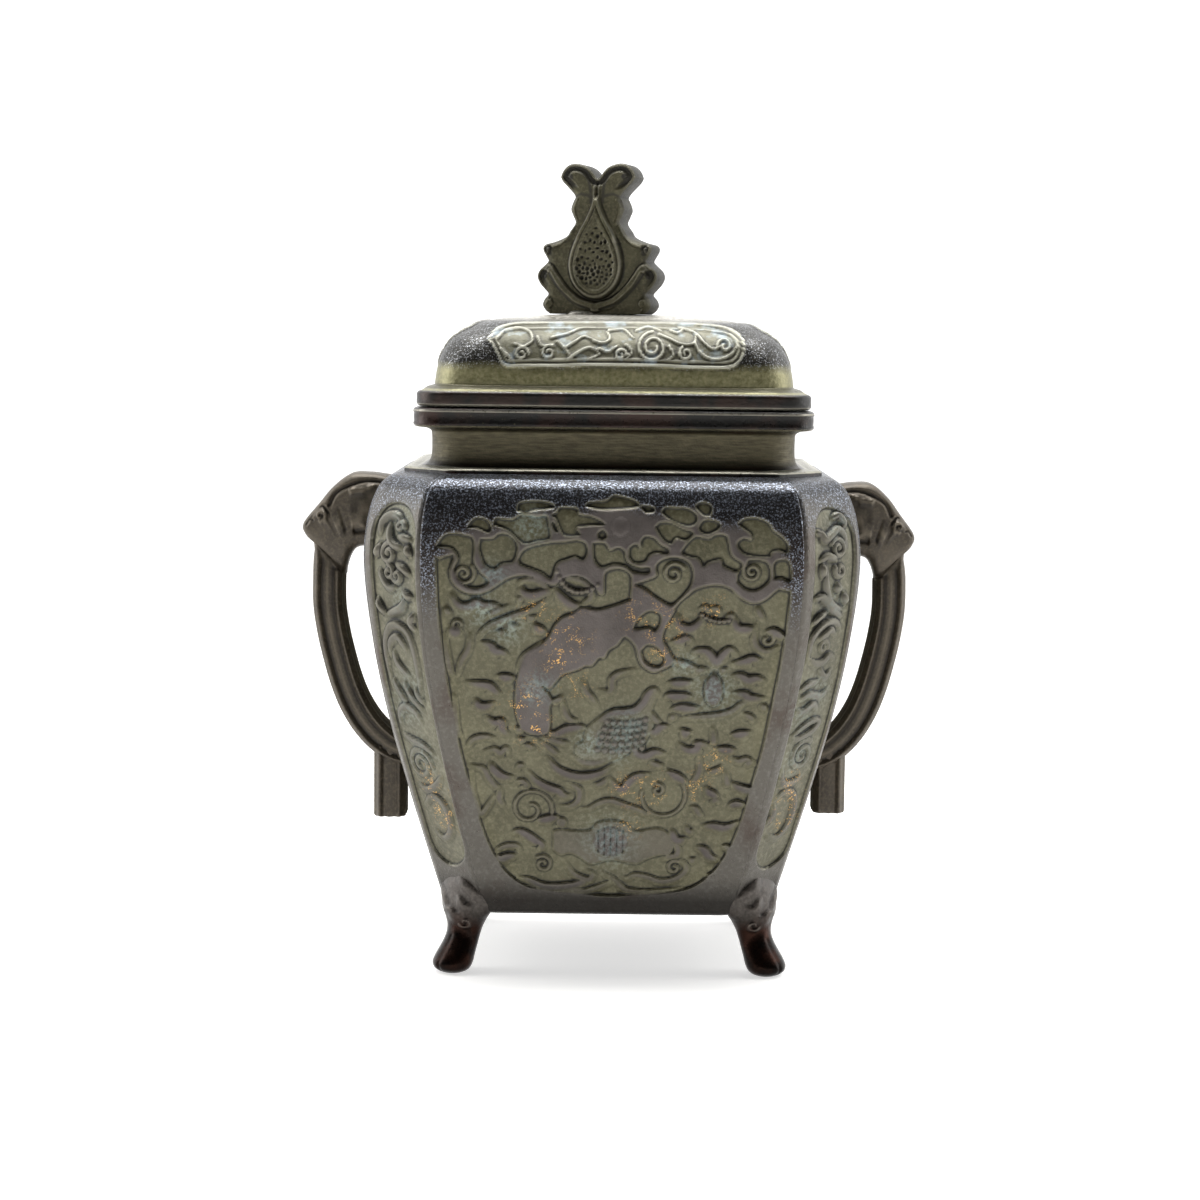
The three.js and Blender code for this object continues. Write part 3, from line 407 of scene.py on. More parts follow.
light_cuts = [
    [(-23.8, 90.4), (-22.4, 91.5), (-20, 91.7), (-17.8, 90.7), (-16.6, 89.2), (-14.8, 88.8)],
    [(-14.6, 90.2), (-12, 91.9), (-8.4, 91.7), (-5.8, 89.7), (-5.6, 87.4), (-6.8, 86), (-8.2, 84.6)],
    [(-33.9, 76), (-33.2, 77.8), (-31, 79.8), (-28, 81.2), (-24.6, 82.6), (-21, 83.8), (-17.6, 85.8),
     (-14.8, 87.8)], [(-31.6, 81.8), (-29.8, 83.4), (-26, 84.6)], [(-21.8, 82), (-19.4, 81.8)],
    [(-29.2, 77.5), (-27.4, 78.2)], [(-26.2, 80), (-24.2, 79.1)], [(-24.2, 86.8), (-22.6, 86.4)],
    [(-42.4, 84.2), (-41.2, 82)], [(-42.6, 77), (-42, 72), (-41.2, 68), (-40, 65.6)],
    [(-36, 77.4), (-36.6, 73.6), (-38.2, 70.6), (-39.4, 66.4)],
    [(-20.3, 71.4), (-17.6, 73.6), (-16.1, 76.4)], [(-24, 67), (-22.6, 71.4), (-19.8, 73.8), (-17.4, 75.4)],
    [(-40.3, 61.4), (-40.1, 57), (-39.5, 52), (-38.4, 49.8)], [(-24.8, 52.4), (-22.2, 52.4)],
    [(-24.2, 49.8), (-21.8, 49.5)], [(-15.6, 59.5), (-13.8, 60.4), (-12.4, 61.2)],
    [(-7.3, 65.4), (-6.6, 63), (-5, 61), (-3.6, 58.6)],
    [(-12.6, 60), (-11.8, 57), (-10.4, 55.2), (-8.4, 54.6)],
    [(-3.2, 62.9), (-1, 62.6), (0, 63.6), (0.1, 66), (1.4, 67.4), (3, 67.9), (6.4, 68.5)],
    [(-19.2, 49.4), (-16.4, 48), (-14.6, 46.4), (-13.2, 45.4)], [(-18, 50.1), (-14, 49.4), (-10.4, 48.3)],
    [(-33, 45.8), (-30, 46.9), (-28.4, 46), (-27, 47.2), (-26, 44.8)],
    [(-22.6, 47.6), (-21, 48), (-20, 46.6)], [(-37, 47), (-35.4, 49.6), (-32.4, 50.4), (-29.6, 49.4)],
    [(-10, 45.4), (-7, 43.7), (-3, 43.7), (0.4, 45.4)],
    [(-36, 41), (-35.8, 36), (-34.8, 32), (-33.6, 29.3), (-31.8, 31.4), (-29.8, 34.4)],
    [(-36.6, 42.2), (-33, 41.7), (-31.6, 39.4), (-29.8, 37), (-28.4, 36.2)],
    [(-24.2, 41.2), (-23.3, 42.7), (-22.4, 41.8)],
    [(-11.8, 37.7), (-9.4, 37.2), (-8, 35.8), (-8.4, 33.2), (-10.4, 31.6), (-13.4, 31.2)],
    [(-24.4, 37.6), (-23, 38.4), (-21.8, 37.2), (-23, 36.2)], [(-13.2, 28), (-12.4, 26.6), (-13.4, 25.8)],
    [(-8, 30.5), (-5.4, 31), (-3, 32.5), (0, 33.3), (4, 32), (7, 31), (9.6, 29.6), (12.6, 29)],
    [(-4.4, 37.2), (-2.4, 38), (-0.6, 39.4)],
    [(-29.8, 18.2), (-28.6, 19.6), (-26.6, 20.5), (-24.2, 20.3), (-23.2, 18.4)],
    [(-11.6, 15.8), (-10, 13.4), (-8, 12), (-5.4, 11.2), (-4.4, 12.6), (-6, 13.4)],
    [(-22.4, 9.4), (-16, 8.1), (-10, 8), (-6, 8), (-2, 9.4), (1.6, 10.9)],
    [(14.4, 22.8), (17.4, 21), (17.6, 18.6), (15.6, 17.8), (13.4, 17)], [(20.6, 17), (22.6, 16.8)],
    [(-2.4, 13.2), (1.6, 10.9), (4, 8.6), (8, 7.9), (14, 8.1), (19.6, 8.7)],
    [(29.2, 20.3), (30.6, 20.7), (31.4, 18)],
    [(2.8, 11.6), (5, 11.6), (6.6, 12.5), (9.8, 12.1), (13.6, 10.9), (17.6, 11.8), (20, 14), (19.8, 15.8),
     (17.8, 16.8)], [(30.6, 90), (32, 88.8), (34.8, 88.2), (38, 88.8), (40, 90.4), (41.6, 92.2)],
    [(36.5, 85.2), (37.4, 83.6), (38.4, 81.6)], [(22.2, 84.2), (23.6, 85), (24.6, 83.2)],
    [(24.8, 84.6), (26.4, 84.7), (27.2, 83)], [(28.9, 81.8), (30, 83), (31, 81.8)],
    [(36.4, 80.6), (36.1, 77), (37, 75), (39.4, 73.8), (42.4, 74.9)],
    [(14.8, 71), (17.6, 70.7), (20.4, 69.6), (22.6, 68.4)], [(21.2, 67.4), (22.6, 68.9), (24.4, 68.4)],
    [(27.4, 69), (29.4, 68.6)], [(38.4, 60), (39.8, 58)],
    [(17.8, 55.3), (20, 56.1), (24, 56.5), (28, 57.1), (31, 58.1), (33.8, 60.2), (36, 60.4)],
    [(33.8, 57.1), (35.6, 56.5), (36.6, 54.8)], [(10, 57.3), (11.4, 55.4), (12.8, 54)],
    [(15.2, 55), (16, 57)], [(26, 53.4), (26.4, 50), (25.8, 48.6)],
    [(31.2, 45), (33, 44.6), (35, 45.1), (37.2, 43.6)], [(9.8, 44), (11.6, 43.4), (13.8, 42.6)],
    [(24.8, 41), (27, 41.9), (28.8, 42.8)], [(29.8, 41.4), (30.2, 38.6), (31, 37.4)],
    [(20.6, 31.2), (22, 31.5), (23, 30), (24.2, 28.2)], [(19.6, 26.3), (20.6, 25), (21.8, 25)],
    [(22.6, 46), (23, 42.4), (22, 39.6), (20.6, 37.4)], [(34.6, 42.8), (35.6, 44), (36.8, 43.8)],
    [(26.2, 32.4), (27.2, 33.8), (28.4, 32.8)], [(-27.4, 31), (-28.8, 33.6), (-28.4, 36.4)],
]
curls = [
    spiral(-37.8, 92.8, 2.9, 40, -1.3), spiral(35.2, 94.2, 2.3, 160, 1.4), spiral(15.4, 93.4, 2.9, 30, 1.2),
    spiral(-20.8, 30.6, 6.0, -20, 1.3, 0.2), spiral(13.4, 34.8, 6.3, 80, -0.75, 0.85),
    spiral(-17.4, 15.2, 2.4, 130, -1.3), spiral(17, 14.6, 2.0, 60, 1.0), spiral(12.2, 36.2, 1.7, 90, -1.0),
    spiral(-2.2, 50.4, 2.1, 60, 1.2), spiral(39.4, 76.8, 2.0, 90, -0.9), spiral(-12.8, 26.9, 1.2, 0, 1.0),
    spiral(-39.6, 79.6, 1.3, 0, 1.0),
]


def beads(relief, u, h, places, radius, height):
    """Round grains set at a list of places."""
    for place in places:
        raise_boss(relief, u, h, place, (radius, radius), height)


def row_of(start, end, sag, count):
    """Places along an arc: evenly spaced on the chord, pushed out as a parabola."""
    t = np.linspace(0, 1, count)[:, None]
    a, b = np.array(start, float), np.array(end, float)
    across = np.array([a[1] - b[1], b[0] - a[0]]) / np.hypot(*(b - a))
    return a + (b - a) * t + across * sag * 4 * t * (1 - t)


def broad_relief(u, h, full=True):
    """Height of the ornament above the sunk ground: plateaus with their hollows, then cuts, then engraving."""
    web = shape(u, h, line_through(upper_web, 3), 0.7)
    for outline in upper_hollows:
        web *= 1 - shape(u, h, line_through([*outline, outline[0]], 4)[:-1])
    beast = shape(u, h, line_through(beast_outline, 3), 0.6)
    for outline in head_hollows:
        beast *= 1 - shape(u, h, line_through([*outline, outline[0]], 4)[:-1])
    relief = recess * np.maximum(web, beast * 0.95)
    np.maximum(relief, 0.6 * shape(u, h, line_through(jewel_ground, 3), 0.7), out=relief)
    np.maximum(relief, 0.5 * shape(u, h, line_through(bowl_ground, 3), 0.8), out=relief)
    for points in strong_cuts:
        raise_lip(relief, u, h, line_through(points, 5), 0.95, 3.0)
    for points in light_cuts if full else light_cuts[::3]:
        raise_lip(relief, u, h, line_through(points, 5), 0.7, 1.8)
    for line in curls:
        raise_line(relief, u, h, line, 0.8, 0.7, tip=0.8, edge=0.6)
    raise_boss(relief, u, h, (26, 63.4), (2.9, 5.2), 1.0)
    jewel_line = [(26, 68.6), (23.4, 64.4), (24, 60), (26, 58.6), (28.2, 60), (28.8, 64.4), (26, 68.6)]
    cut_line(relief, u, h, line_through(jewel_line, 5), 0.6, 0.35)
    raise_boss(relief, u, h, (0.2, 21.8), (5.4, 5.2), 1.25)
    if full:
        raise_boss(relief, u, h, (1.7, 105.2), (3.3, 3.2), 1.25)
        beads(relief, u, h, row_of((-14.2, 93.6), (-3.8, 90.2), -3.4, 11), 0.85, 1.3)
        beads(relief, u, h, row_of((22.8, 83), (29.6, 81.6), -0.8, 7), 0.7, 1.1)
    for row in range(5):
        grains = row_of((-3.5 + row * 0.6, 47 + row * 1.9), (8 + row * 0.2, 47.6 + row * 1.9), -0.6, 7)
        beads(relief, u, h, grains, 0.9, 1.0)
    for stripe in np.arange(-3.2, 3.3, 1.6):
        tall = 3.8 * math.sqrt(1 - (stripe / 5) ** 2)
        cut_line(relief, u, h, np.array([(0.2 + stripe, 21.8 - tall), (0.2 + stripe, 21.8 + tall)]), 0.7, 0.4)
    return relief


def spots(u, h, places):
    """Soft round patches: the highest of several bells, each with its own reach."""
    patch = np.zeros(u.shape)
    for x, z, reach in places:
        patch = np.maximum(patch, np.exp(-((u - x) ** 2 + (h - z) ** 2) / reach**2))
    return patch


gilt_places = [
    (-12, 77, 5), (-13, 71, 4), (8, 83, 4), (13, 79, 4), (-9, 64, 3), (-22, 58, 5), (-20, 53, 4),
    (4, 36, 3.5), (10, 36, 4), (22, 37, 3), (5, 26, 2.5), (-20, 84, 3), (26, 84, 3), (13, 72, 3),
    (27, 44, 3),
]
bloom_places = [
    (-5.5, 48.6, 3.4), (2, 46.5, 3), (4, 52, 5), (-33.5, 83.5, 4), (-30, 93, 3), (26, 63, 5), (0, 22, 6),
    (-27, 79, 4), (18, 70, 3), (-21, 105, 4), (-19, 63, 4),
]


# The drawing above has its own origin: it sits this far right of the middle and below the profile's heights
drawing_right, drawing_drop = 0.3, 0.95


def front_surface(u, h):
    u, h = u - drawing_right, h + drawing_drop
    offset, attributes = sink_panel(u, h, panel_outline, broad_relief(u, h))
    attributes["gilt"] = spots(u, h, gilt_places)
    attributes["bloom"] = spots(u, h, bloom_places)
    return offset, attributes


def linear(hex_colour):
    """sRGB hex to linear: below 0.04045 a straight line, above it the 2.4 power."""
    channels = [int(hex_colour[i:i + 2], 16) / 255 for i in (1, 3, 5)]
    return (*[c / 12.92 if c <= 0.04045 else ((c + 0.055) / 1.055) ** 2.4 for c in channels], 1.0)


def add_node(material, kind, inputs=None, **settings):
    """Adds a shader node with its settings; an input is a value, or the output socket to link from."""
    node = material.node_tree.nodes.new("ShaderNode" + kind)
    for key, value in settings.items():
        setattr(node, key, value)
    for key, value in (inputs or {}).items():
        if isinstance(value, bpy.types.NodeSocket):
            material.node_tree.links.new(value, node.inputs[key])
        else:
            node.inputs[key].default_value = value
    return node


def new_material(name):
    """Empty node material with a metal surface; gives the material and its surface node."""
    material = bpy.data.materials.new(name)
    material.use_nodes = True
    material.node_tree.nodes.clear()
    surface = add_node(material, "BsdfPrincipled")
    add_node(material, "OutputMaterial", {"Surface": surface.outputs["BSDF"]})
    return material, surface


def noise(material, size_mm, detail=3.0, roughness=0.55, stretch=None):
    """Noise on Object coordinates whose features are about size_mm across."""
    where = add_node(material, "TexCoord").outputs["Object"]
    if stretch:
        where = add_node(material, "Mapping", {"Vector": where, "Scale": stretch}).outputs["Vector"]
    return add_node(material, "TexNoise", {
        "Vector": where, "Scale": 1000 / size_mm, "Detail": detail, "Roughness": roughness,
    }).outputs["Fac"]


def ramp(material, value, low, high, low_value=0.0, high_value=1.0):
    """Maps a value from one range to another and holds it at the ends."""
    return add_node(material, "MapRange", {
        "Value": value, "From Min": low, "From Max": high, "To Min": low_value, "To Max": high_value,
    }).outputs["Result"]


def blend(material, share, low, high):
    """Mixes two colours, or two colour sockets, by a share."""
    low = linear(low) if isinstance(low, str) else low
    high = linear(high) if isinstance(high, str) else high
    return add_node(material, "MixRGB", {"Fac": share, "Color1": low, "Color2": high}).outputs[0]


def calculate(material, operation, a, b):
    return add_node(material, "Math", {0: a, 1: b}, operation=operation).outputs[0]


def attribute(material, name):
    return add_node(material, "Attribute", attribute_name=name).outputs["Fac"]


def object_height(material):
    """Height above the table in metres."""
    where = add_node(material, "TexCoord").outputs["Object"]
    return add_node(material, "SeparateXYZ", {"Vector": where}).outputs["Z"]


def dress(material, surface, colour, metallic, rough, *bumps):
    """Connects colour, metal share and roughness, and lays fine bumps of (height, strength, depth in mm)
    one over another. Gives the finished material."""
    for key, value in (("Base Color", colour), ("Metallic", metallic), ("Roughness", rough)):
        if isinstance(value, float):
            surface.inputs[key].default_value = value
        else:
            material.node_tree.links.new(value, surface.inputs[key])
    below = {}
    for height, strength, depth in bumps:
        inputs = {"Height": height, "Strength": strength, "Distance": depth / 1000, **below}
        below = {"Normal": add_node(material, "Bump", inputs).outputs["Normal"]}
    material.node_tree.links.new(below["Normal"], surface.inputs["Normal"])
    return material


def step_at(material, height, middle, half=0.2):
    """Rises from 0 to 1 round a height given in millimetres; falls where the half width is negative."""
    return ramp(material, height, (middle - half) / 1000, (middle + half) / 1000)


def carved_bronze(name, ground_colours, worn_colours, edge_colour, soot_from):
    """Cast bronze with a worked patina: powdery olive in the sunk ground, bare purple-grey metal on the
    border and where hands have rubbed the relief, painted shade in the creases and a pale painted highlight
    with rubbing on proud edges, specks of gilding and pale blue bloom. The border is painted darker towards
    the bottom as shade. The shoulder is sooty black with pale specks painted in as glints; the soot starts
    at a height in metres."""
    material, surface = new_material(name)
    raised, panel, wear = (attribute(material, key) for key in ("raised", "panel", "wear"))
    cloud, grain, speck = noise(material, 9), noise(material, 1.1, 4), noise(material, 0.45, 2)
    ground = blend(material, ramp(material, cloud, 0.35, 0.65), *ground_colours)
    ground = blend(material, ramp(material, grain, 0.45, 0.75, 0, 0.5), ground, edge_colour)
    worn = blend(material, ramp(material, cloud, 0.35, 0.65), *worn_colours)
    border = blend(material, ramp(material, noise(material, 16), 0.52, 0.66), "#524f4a", "#463f3a")
    border = blend(material, ramp(material, grain, 0.5, 0.7, 0, 0.35), border, "#72706b")
    height = object_height(material)
    # Painted shade: the border darkens towards the bottom of the body, where the wall turns under.
    border = blend(material, ramp(material, height, 0.027, 0.02, 0, 0.85), border, "#1e1c1a")
    soot = blend(material, ramp(material, height, 0.116, 0.128), "#1c1412", "#1e2025")
    # Pale specks are painted into the sooty black as glints of the sparkling grains.
    soot_and_painted_glints = blend(material, ramp(material, speck, 0.5, 0.7), soot, "#949cab")
    uneven = calculate(material, "ADD", height, calculate(material, "MULTIPLY", noise(material, 12), 0.016))
    soot_and_glint_share = ramp(material, uneven, soot_from + 0.008, soot_from + 0.022, 0, 0.8)
    border = blend(material, soot_and_glint_share, border, soot_and_painted_glints)
    metal = blend(material, panel, border, worn)
    bare = ramp(material, raised, 0.45, 0.9)
    colour = blend(material, bare, ground, metal)
    # Painted shade: creases darken towards black; proud edges get a pale painted highlight along with rubbing.
    colour = blend(material, ramp(material, wear, -0.12, -0.7, 0, 0.92), colour, "#0f0e09")
    colour = blend(material, ramp(material, wear, 0.3, 1.0, 0, 0.25), colour, edge_colour)
    gilt = calculate(material, "MULTIPLY", attribute(material, "gilt"), ramp(material, speck, 0.54, 0.62))
    gilt = calculate(material, "MULTIPLY", gilt, ramp(material, noise(material, 2.4, 4), 0.5, 0.58))
    colour = blend(material, gilt, colour, "#e0b066")
    bloom = calculate(material, "MULTIPLY", attribute(material, "bloom"), ramp(material, grain, 0.42, 0.66))
    colour = blend(material, calculate(material, "MULTIPLY", bloom, 0.45), colour, "#8fa3a0")
    outer = ramp(material, panel, 1, 0)
    metallic = ramp(material, calculate(material, "ADD", bare, outer), 0, 2, 0.3, 0.85)
    rough = ramp(material, grain, 0.3, 0.7, 0.46, 0.6)
    rough = calculate(material, "SUBTRACT", rough, calculate(material, "MULTIPLY", outer, 0.2))
    return dress(material, surface, colour, metallic, rough, (grain, 0.3, 0.25), (speck, 0.6, 0.15))


relief_bronze = carved_bronze("patinated_cast_bronze_relief", ("#4d4a36", "#5a5742"), ("#4b4542", "#5a5451"),
                              "#858168", 0.094)


def finish_piece(piece, material, slot, *nodes):
    """Gives a piece its metal, its body and the CAD nodes that it stands for."""
    piece.data.materials.append(material)
    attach(piece, "root")
    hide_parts(*nodes)
    return piece


body_front = add_skin("body_front", broad_face(-1), broad_half, equal_levels(330), 270, front_surface)
finish_piece(body_front, relief_bronze, "patinated_bronze", "body")

# Back of the vessel
# The same casting seen from behind: the same design with fewer lines, as such vessels are plainer there.
# It is left as cast, without gilding.


def back_surface(u, h):
    h = h + drawing_drop
    return sink_panel(u, h, panel_outline, broad_relief(u, h, full=False))


body_back = add_skin("body_back", broad_face(1), broad_half, equal_levels(236), 180, back_surface)
finish_piece(body_back, relief_bronze, "patinated_bronze", "body")

# Two ends of the vessel, under the handles
# Narrower faces of the casting with a sunk panel each: scrolls mirrored about the handle, a jewel below.


def narrow_face(sign):
    """The right end for sign 1 and the left for -1; u runs to the right of whoever faces it."""
    def place(u, h, out):
        return np.stack([sign * (half_width(h) + out), sign * u, foot_height + h], -1)
    return place


def narrow_half(h):
    return half_width(h) - depth_cut - cant(h)


end_outline_half = [
    (0, 110), (10, 109.4), (20, 110.6), (28, 109), (34, 104), (36.4, 97), (35.6, 84), (34, 71), (32, 59.5),
    (30, 48), (27.5, 38), (25, 28), (22, 20), (17, 12), (9, 8.4),
]
end_outline = line_through([*end_outline_half, (0, 7.6), *[(-u, h) for u, h in end_outline_half[:0:-1]]], 4)
end_vines = [
    [(8, 104), (14, 103), (19, 105.6), (25, 104.6), (30, 100)],
    [(9, 97), (12, 100), (17, 99), (21, 94), (26, 96), (31, 94)],
    [(8, 82), (13, 80), (18, 82), (24, 86), (30, 84)], [(9, 74), (14, 76), (20, 74), (25, 69), (31, 72)],
    [(8, 68), (12, 64), (18, 62), (22, 56), (28, 60)],
    [(10, 56), (14, 50), (20, 46), (24, 40), (26, 46), (28, 52)],
    [(8, 46), (12, 40), (16, 38), (20, 32), (24, 34)], [(6, 34), (10, 30), (15, 30), (18, 24), (21, 26)],
    [(7, 22), (12, 24), (16, 18), (13, 14), (8, 13)], [(0, 27), (5, 23), (7, 17), (4, 12), (0, 10.6)],
    [(12, 90), (14, 84)], [(26, 90), (24, 80)], [(27, 78), (29, 66)], [(24, 64), (26, 50)],
]
end_curls = [(14, 90, 6, 1.5), (22, 78, 4, -1.3), (20, 66, 4.2, 1.3), (17, 52, 4, -1.3), (14, 30, 4, 1.2)]


def end_surface(u, h):
    relief = np.zeros(u.shape)
    for side in (-1, 1):
        for points in end_vines:
            line = line_through([(side * a, b) for a, b in points], 6)
            raise_line(relief, u, h, line, 1.8, 1.0, edge=0.7)
        for x, z, radius, turns in end_curls:
            line = spiral(side * x, z, radius, 90, side * turns)
            raise_line(relief, u, h, line, 1.8, 1.0, edge=0.7)
    raise_boss(relief, u, h, (0, 16), (4.4, 4.4), 1.2)
    for stripe in (-2.4, -0.8, 0.8, 2.4):
        cut_line(relief, u, h, np.array([(stripe, 13), (stripe, 19)]), 0.7, 0.35)
    return sink_panel(u, h, end_outline, relief)


for side_name, sign in (("right", 1), ("left", -1)):
    body_end = add_skin(f"body_end_{side_name}", narrow_face(sign), narrow_half, equal_levels(200), 132,
                        end_surface)
    finish_piece(body_end, relief_bronze, "patinated_bronze", "body")

# Canted corners of the vessel
# Long narrow panels with a round head: hooked scrolls above, a waist, an arch and stems down to the foot.


def corner_face(sx, sy):
    """A corner seen from outside: u runs to the viewer's right along the cant."""
    turn = -sx * sy

    def place(u, h, out):
        middle = cant(h) / 2
        push = out * math.sqrt(0.5)
        slide = turn * u * math.sqrt(0.5)
        x = sx * (half_width(h) - middle + push + slide * 1.0)
        y = sy * (half_width(h) - depth_cut - middle + push - slide * 1.0)
        return np.stack([x, y, foot_height + h], -1)
    return place


def corner_half(h):
    return cant(h) * math.sqrt(0.5)


corner_shape = line_through([
    (-6.9, 100), (-6.2, 105), (-3.6, 108.8), (0, 110), (3.6, 108.8), (6.2, 105), (6.9, 100), (6.9, 90),
    (6.8, 80),
    (6.7, 70), (6.6, 58), (6.3, 46), (6, 36), (5.7, 26), (5, 17), (0, 13.4), (-5, 17), (-5.7, 26),
    (-6, 36), (-6.3, 46), (-6.6, 58), (-6.7, 70), (-6.8, 80), (-6.9, 90),
], 4)
# How much further the panel reaches to the left and to the right of the middle
corner_reach = {"left": (1.16, 1.3), "right": (0.97, 1.3)}
left_corner_lines = [
    [(-5.4, 102), (-4.6, 105.4), (-1.8, 107.4), (1.2, 107), (2.8, 105.4)],
    [(-1.8, 104.6), (-1.2, 101.8), (0.4, 99.8), (3, 98.8)], [(2, 101.6), (4.2, 101.8), (6.6, 101)],
    [(5.6, 99.6), (6.8, 96.6)], [(-6.6, 96), (-4.8, 99.4)],
    [(-5.2, 92.6), (-3.4, 90.6), (-1.6, 88.8), (0.6, 88.4)], [(1.6, 94.6), (4.2, 94), (6.4, 92)],
    [(3.6, 87.6), (5.6, 86.8), (6.8, 86)], [(-3, 81.4), (0, 82.6), (2.8, 83.8), (4.2, 85.6)],
    [(-6.8, 85), (-5.6, 83.2), (-4.2, 81.2)], [(6.8, 81.8), (5.6, 79.8), (6.8, 77.4)],
    [(-5.6, 61), (-6, 68), (-5.6, 74), (-3.2, 78), (0, 79), (3.4, 77.4), (5.2, 73), (5.6, 66), (5, 60)],
    [(-4.6, 70.4), (-3.6, 74), (-0.8, 75.9), (1.2, 74.2), (2.4, 72)],
    [(-3, 71.6), (-2, 69), (0, 67), (2, 64.8)], [(-5, 64), (-2.8, 60.6), (-1.4, 57.6)],
    [(-1, 63.6), (1.4, 60), (4.6, 56.4)], [(3, 62), (5.6, 58.4)],
    [(-5.6, 51), (-5, 55), (-2.4, 57.2), (1, 56.4), (3, 53)],
    [(-5.8, 49), (-2, 48), (1.6, 47), (4.8, 44.6)], [(-4.6, 35.2), (-1.4, 34.6), (2, 36), (5.2, 38.4)],
    [(-4, 30), (-1, 32.6), (2.6, 32), (4.2, 28.6), (3.4, 24), (0, 21.2), (-3, 22.6)],
]
right_corner_lines = [
    [(-5.6, 104.2), (-3.6, 103.8), (-2.4, 102.4), (0, 103.6), (2.6, 105), (4.8, 103.4), (5.8, 99)],
    [(1.4, 107.4), (3.6, 108.4), (5.4, 106.4), (4.6, 104.6)],
    [(-4.2, 96.8), (-2.2, 98.2), (0, 97.8), (1.8, 96.8)], [(-3.6, 96), (-3.2, 92.4)],
    [(-2, 95), (-1.8, 90.4), (-0.6, 87), (2, 85), (5.2, 83.8)],
    [(-5.4, 87), (-3.2, 87.8), (-0.6, 86.2), (1.6, 84), (5.8, 82)], [(2.6, 90.6), (3.6, 88.4)],
    [(-5, 80.4), (-3.2, 82.6), (-0.6, 83.2)], [(5.6, 88), (6.6, 85)],
    [(-5, 70.6), (-4.8, 76.4), (-1.6, 80.2), (2.6, 81), (6, 79)],
    [(-1.6, 76), (0.4, 77.8), (2.2, 78.8), (4.2, 77)],
    [(-4.6, 71), (-1.6, 70.2), (1, 70.6), (3.2, 72), (5.6, 70.6)], [(0.4, 68.6), (2.6, 66.4), (5, 67.6)],
    [(-5.6, 62.8), (-3, 64.8), (0.6, 65)], [(-4.6, 60.4), (-2, 62), (2.6, 61.4), (5.4, 62.6)],
    [(-5.6, 57.4), (-2.6, 57.6), (0.6, 59.2), (3.4, 57.2)],
    [(-5, 50.2), (-1.6, 52.8), (2, 54.6), (4.6, 54), (2.4, 51.6), (-2, 50), (-5, 50.2)],
    [(-4.8, 41.6), (-3, 38), (0.6, 37.8), (3.8, 39)],
    [(-3.8, 33.4), (-1, 35.4), (2.6, 34.4), (4.4, 30.6), (4, 25.6), (1, 22.4), (-3, 23)],
    [(-5, 26.6), (-3.4, 29), (-3.6, 31.6)],
]
corner_scrolls = {
    "left": [spiral(-1.3, 97, 3.0, 40, 1.4), spiral(-1.4, 92.2, 2.0, 90, -1.1), spiral(1.8, 91.4, 1.8, 200, 1.1),
             spiral(-1.6, 41.2, 4.4, 0, 1.7), spiral(2.6, 104, 1.6, 0, 1.0)],
    "right": [spiral(2.4, 99.6, 2.8, 150, -1.4), spiral(3.2, 94, 2.0, 160, 1.2), spiral(1.6, 45, 4.2, 60, 1.7),
              spiral(0.4, 74, 1.8, 0, 1.1)],
}
corner_gilt = [(1, 34, 4), (2, 28, 4), (0, 38, 3)]
corner_bloom = [(-2, 56, 5), (1, 62, 5), (3, 105, 4), (0, 44, 5), (2, 86, 4)]


def corner_surface(kind):
    lines = left_corner_lines if kind == "left" else right_corner_lines

    def surface(u, h):
        h = h + drawing_drop
        relief = np.zeros(u.shape)
        for points in lines:
            raise_lip(relief, u, h, line_through(points, 5), 0.9, 2.2)
        for line in corner_scrolls[kind]:
            raise_line(relief, u, h, line, 1.3, 0.6, tip=0.8, edge=0.8)
        relief *= 1 + 0.7 * smooth_step((h - 76) / 6)
        outline = corner_shape.copy()
        outline[:, 0] *= np.where(outline[:, 0] < 0, *corner_reach[kind])
        offset, attributes = sink_panel(u, h, outline, relief, 0.8)
        attributes["gilt"] = spots(u, h, corner_gilt)
        attributes["bloom"] = 0.5 * spots(u, h, corner_bloom)
        return offset, attributes
    return surface


corner_bronze = carved_bronze("rubbed_cast_bronze_corners", ("#4e4c3c", "#5b5948"), ("#57544b", "#65625a"),
                              "#8c8874", 0.118)
for name, sx, sy, kind, rows, columns in (
    ("front_left", -1, -1, "left", 330, 60), ("front_right", 1, -1, "right", 330, 60),
    ("rear_left", -1, 1, "right", 220, 40), ("rear_right", 1, 1, "left", 220, 40),
):
    corner = add_skin(f"body_corner_{name}", corner_face(sx, sy), corner_half, equal_levels(rows), columns,
                      corner_surface(kind))
    finish_piece(corner, corner_bronze, "patinated_bronze", "body")

# Wall, collar, neck and mouth rim of the vessel
# The plain part of the casting: the hollow wall behind the skins, a raised collar plate on the shoulder,
# a short neck, and a thick mouth rim whose edge was polished and has gone nearly black.

wall = 3.6
floor_thickness = 4.5
shoulder_level = foot_height + body_height
collar_level = shoulder_level + 1.3
neck_base = collar_level + 0.4
rim_base = neck_base + 9.9
rim_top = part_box("body")[1].z * 1000
rim_half = 51.9
rim_corner = 8.5
neck_half = 47.5
mouth_half = 43.2


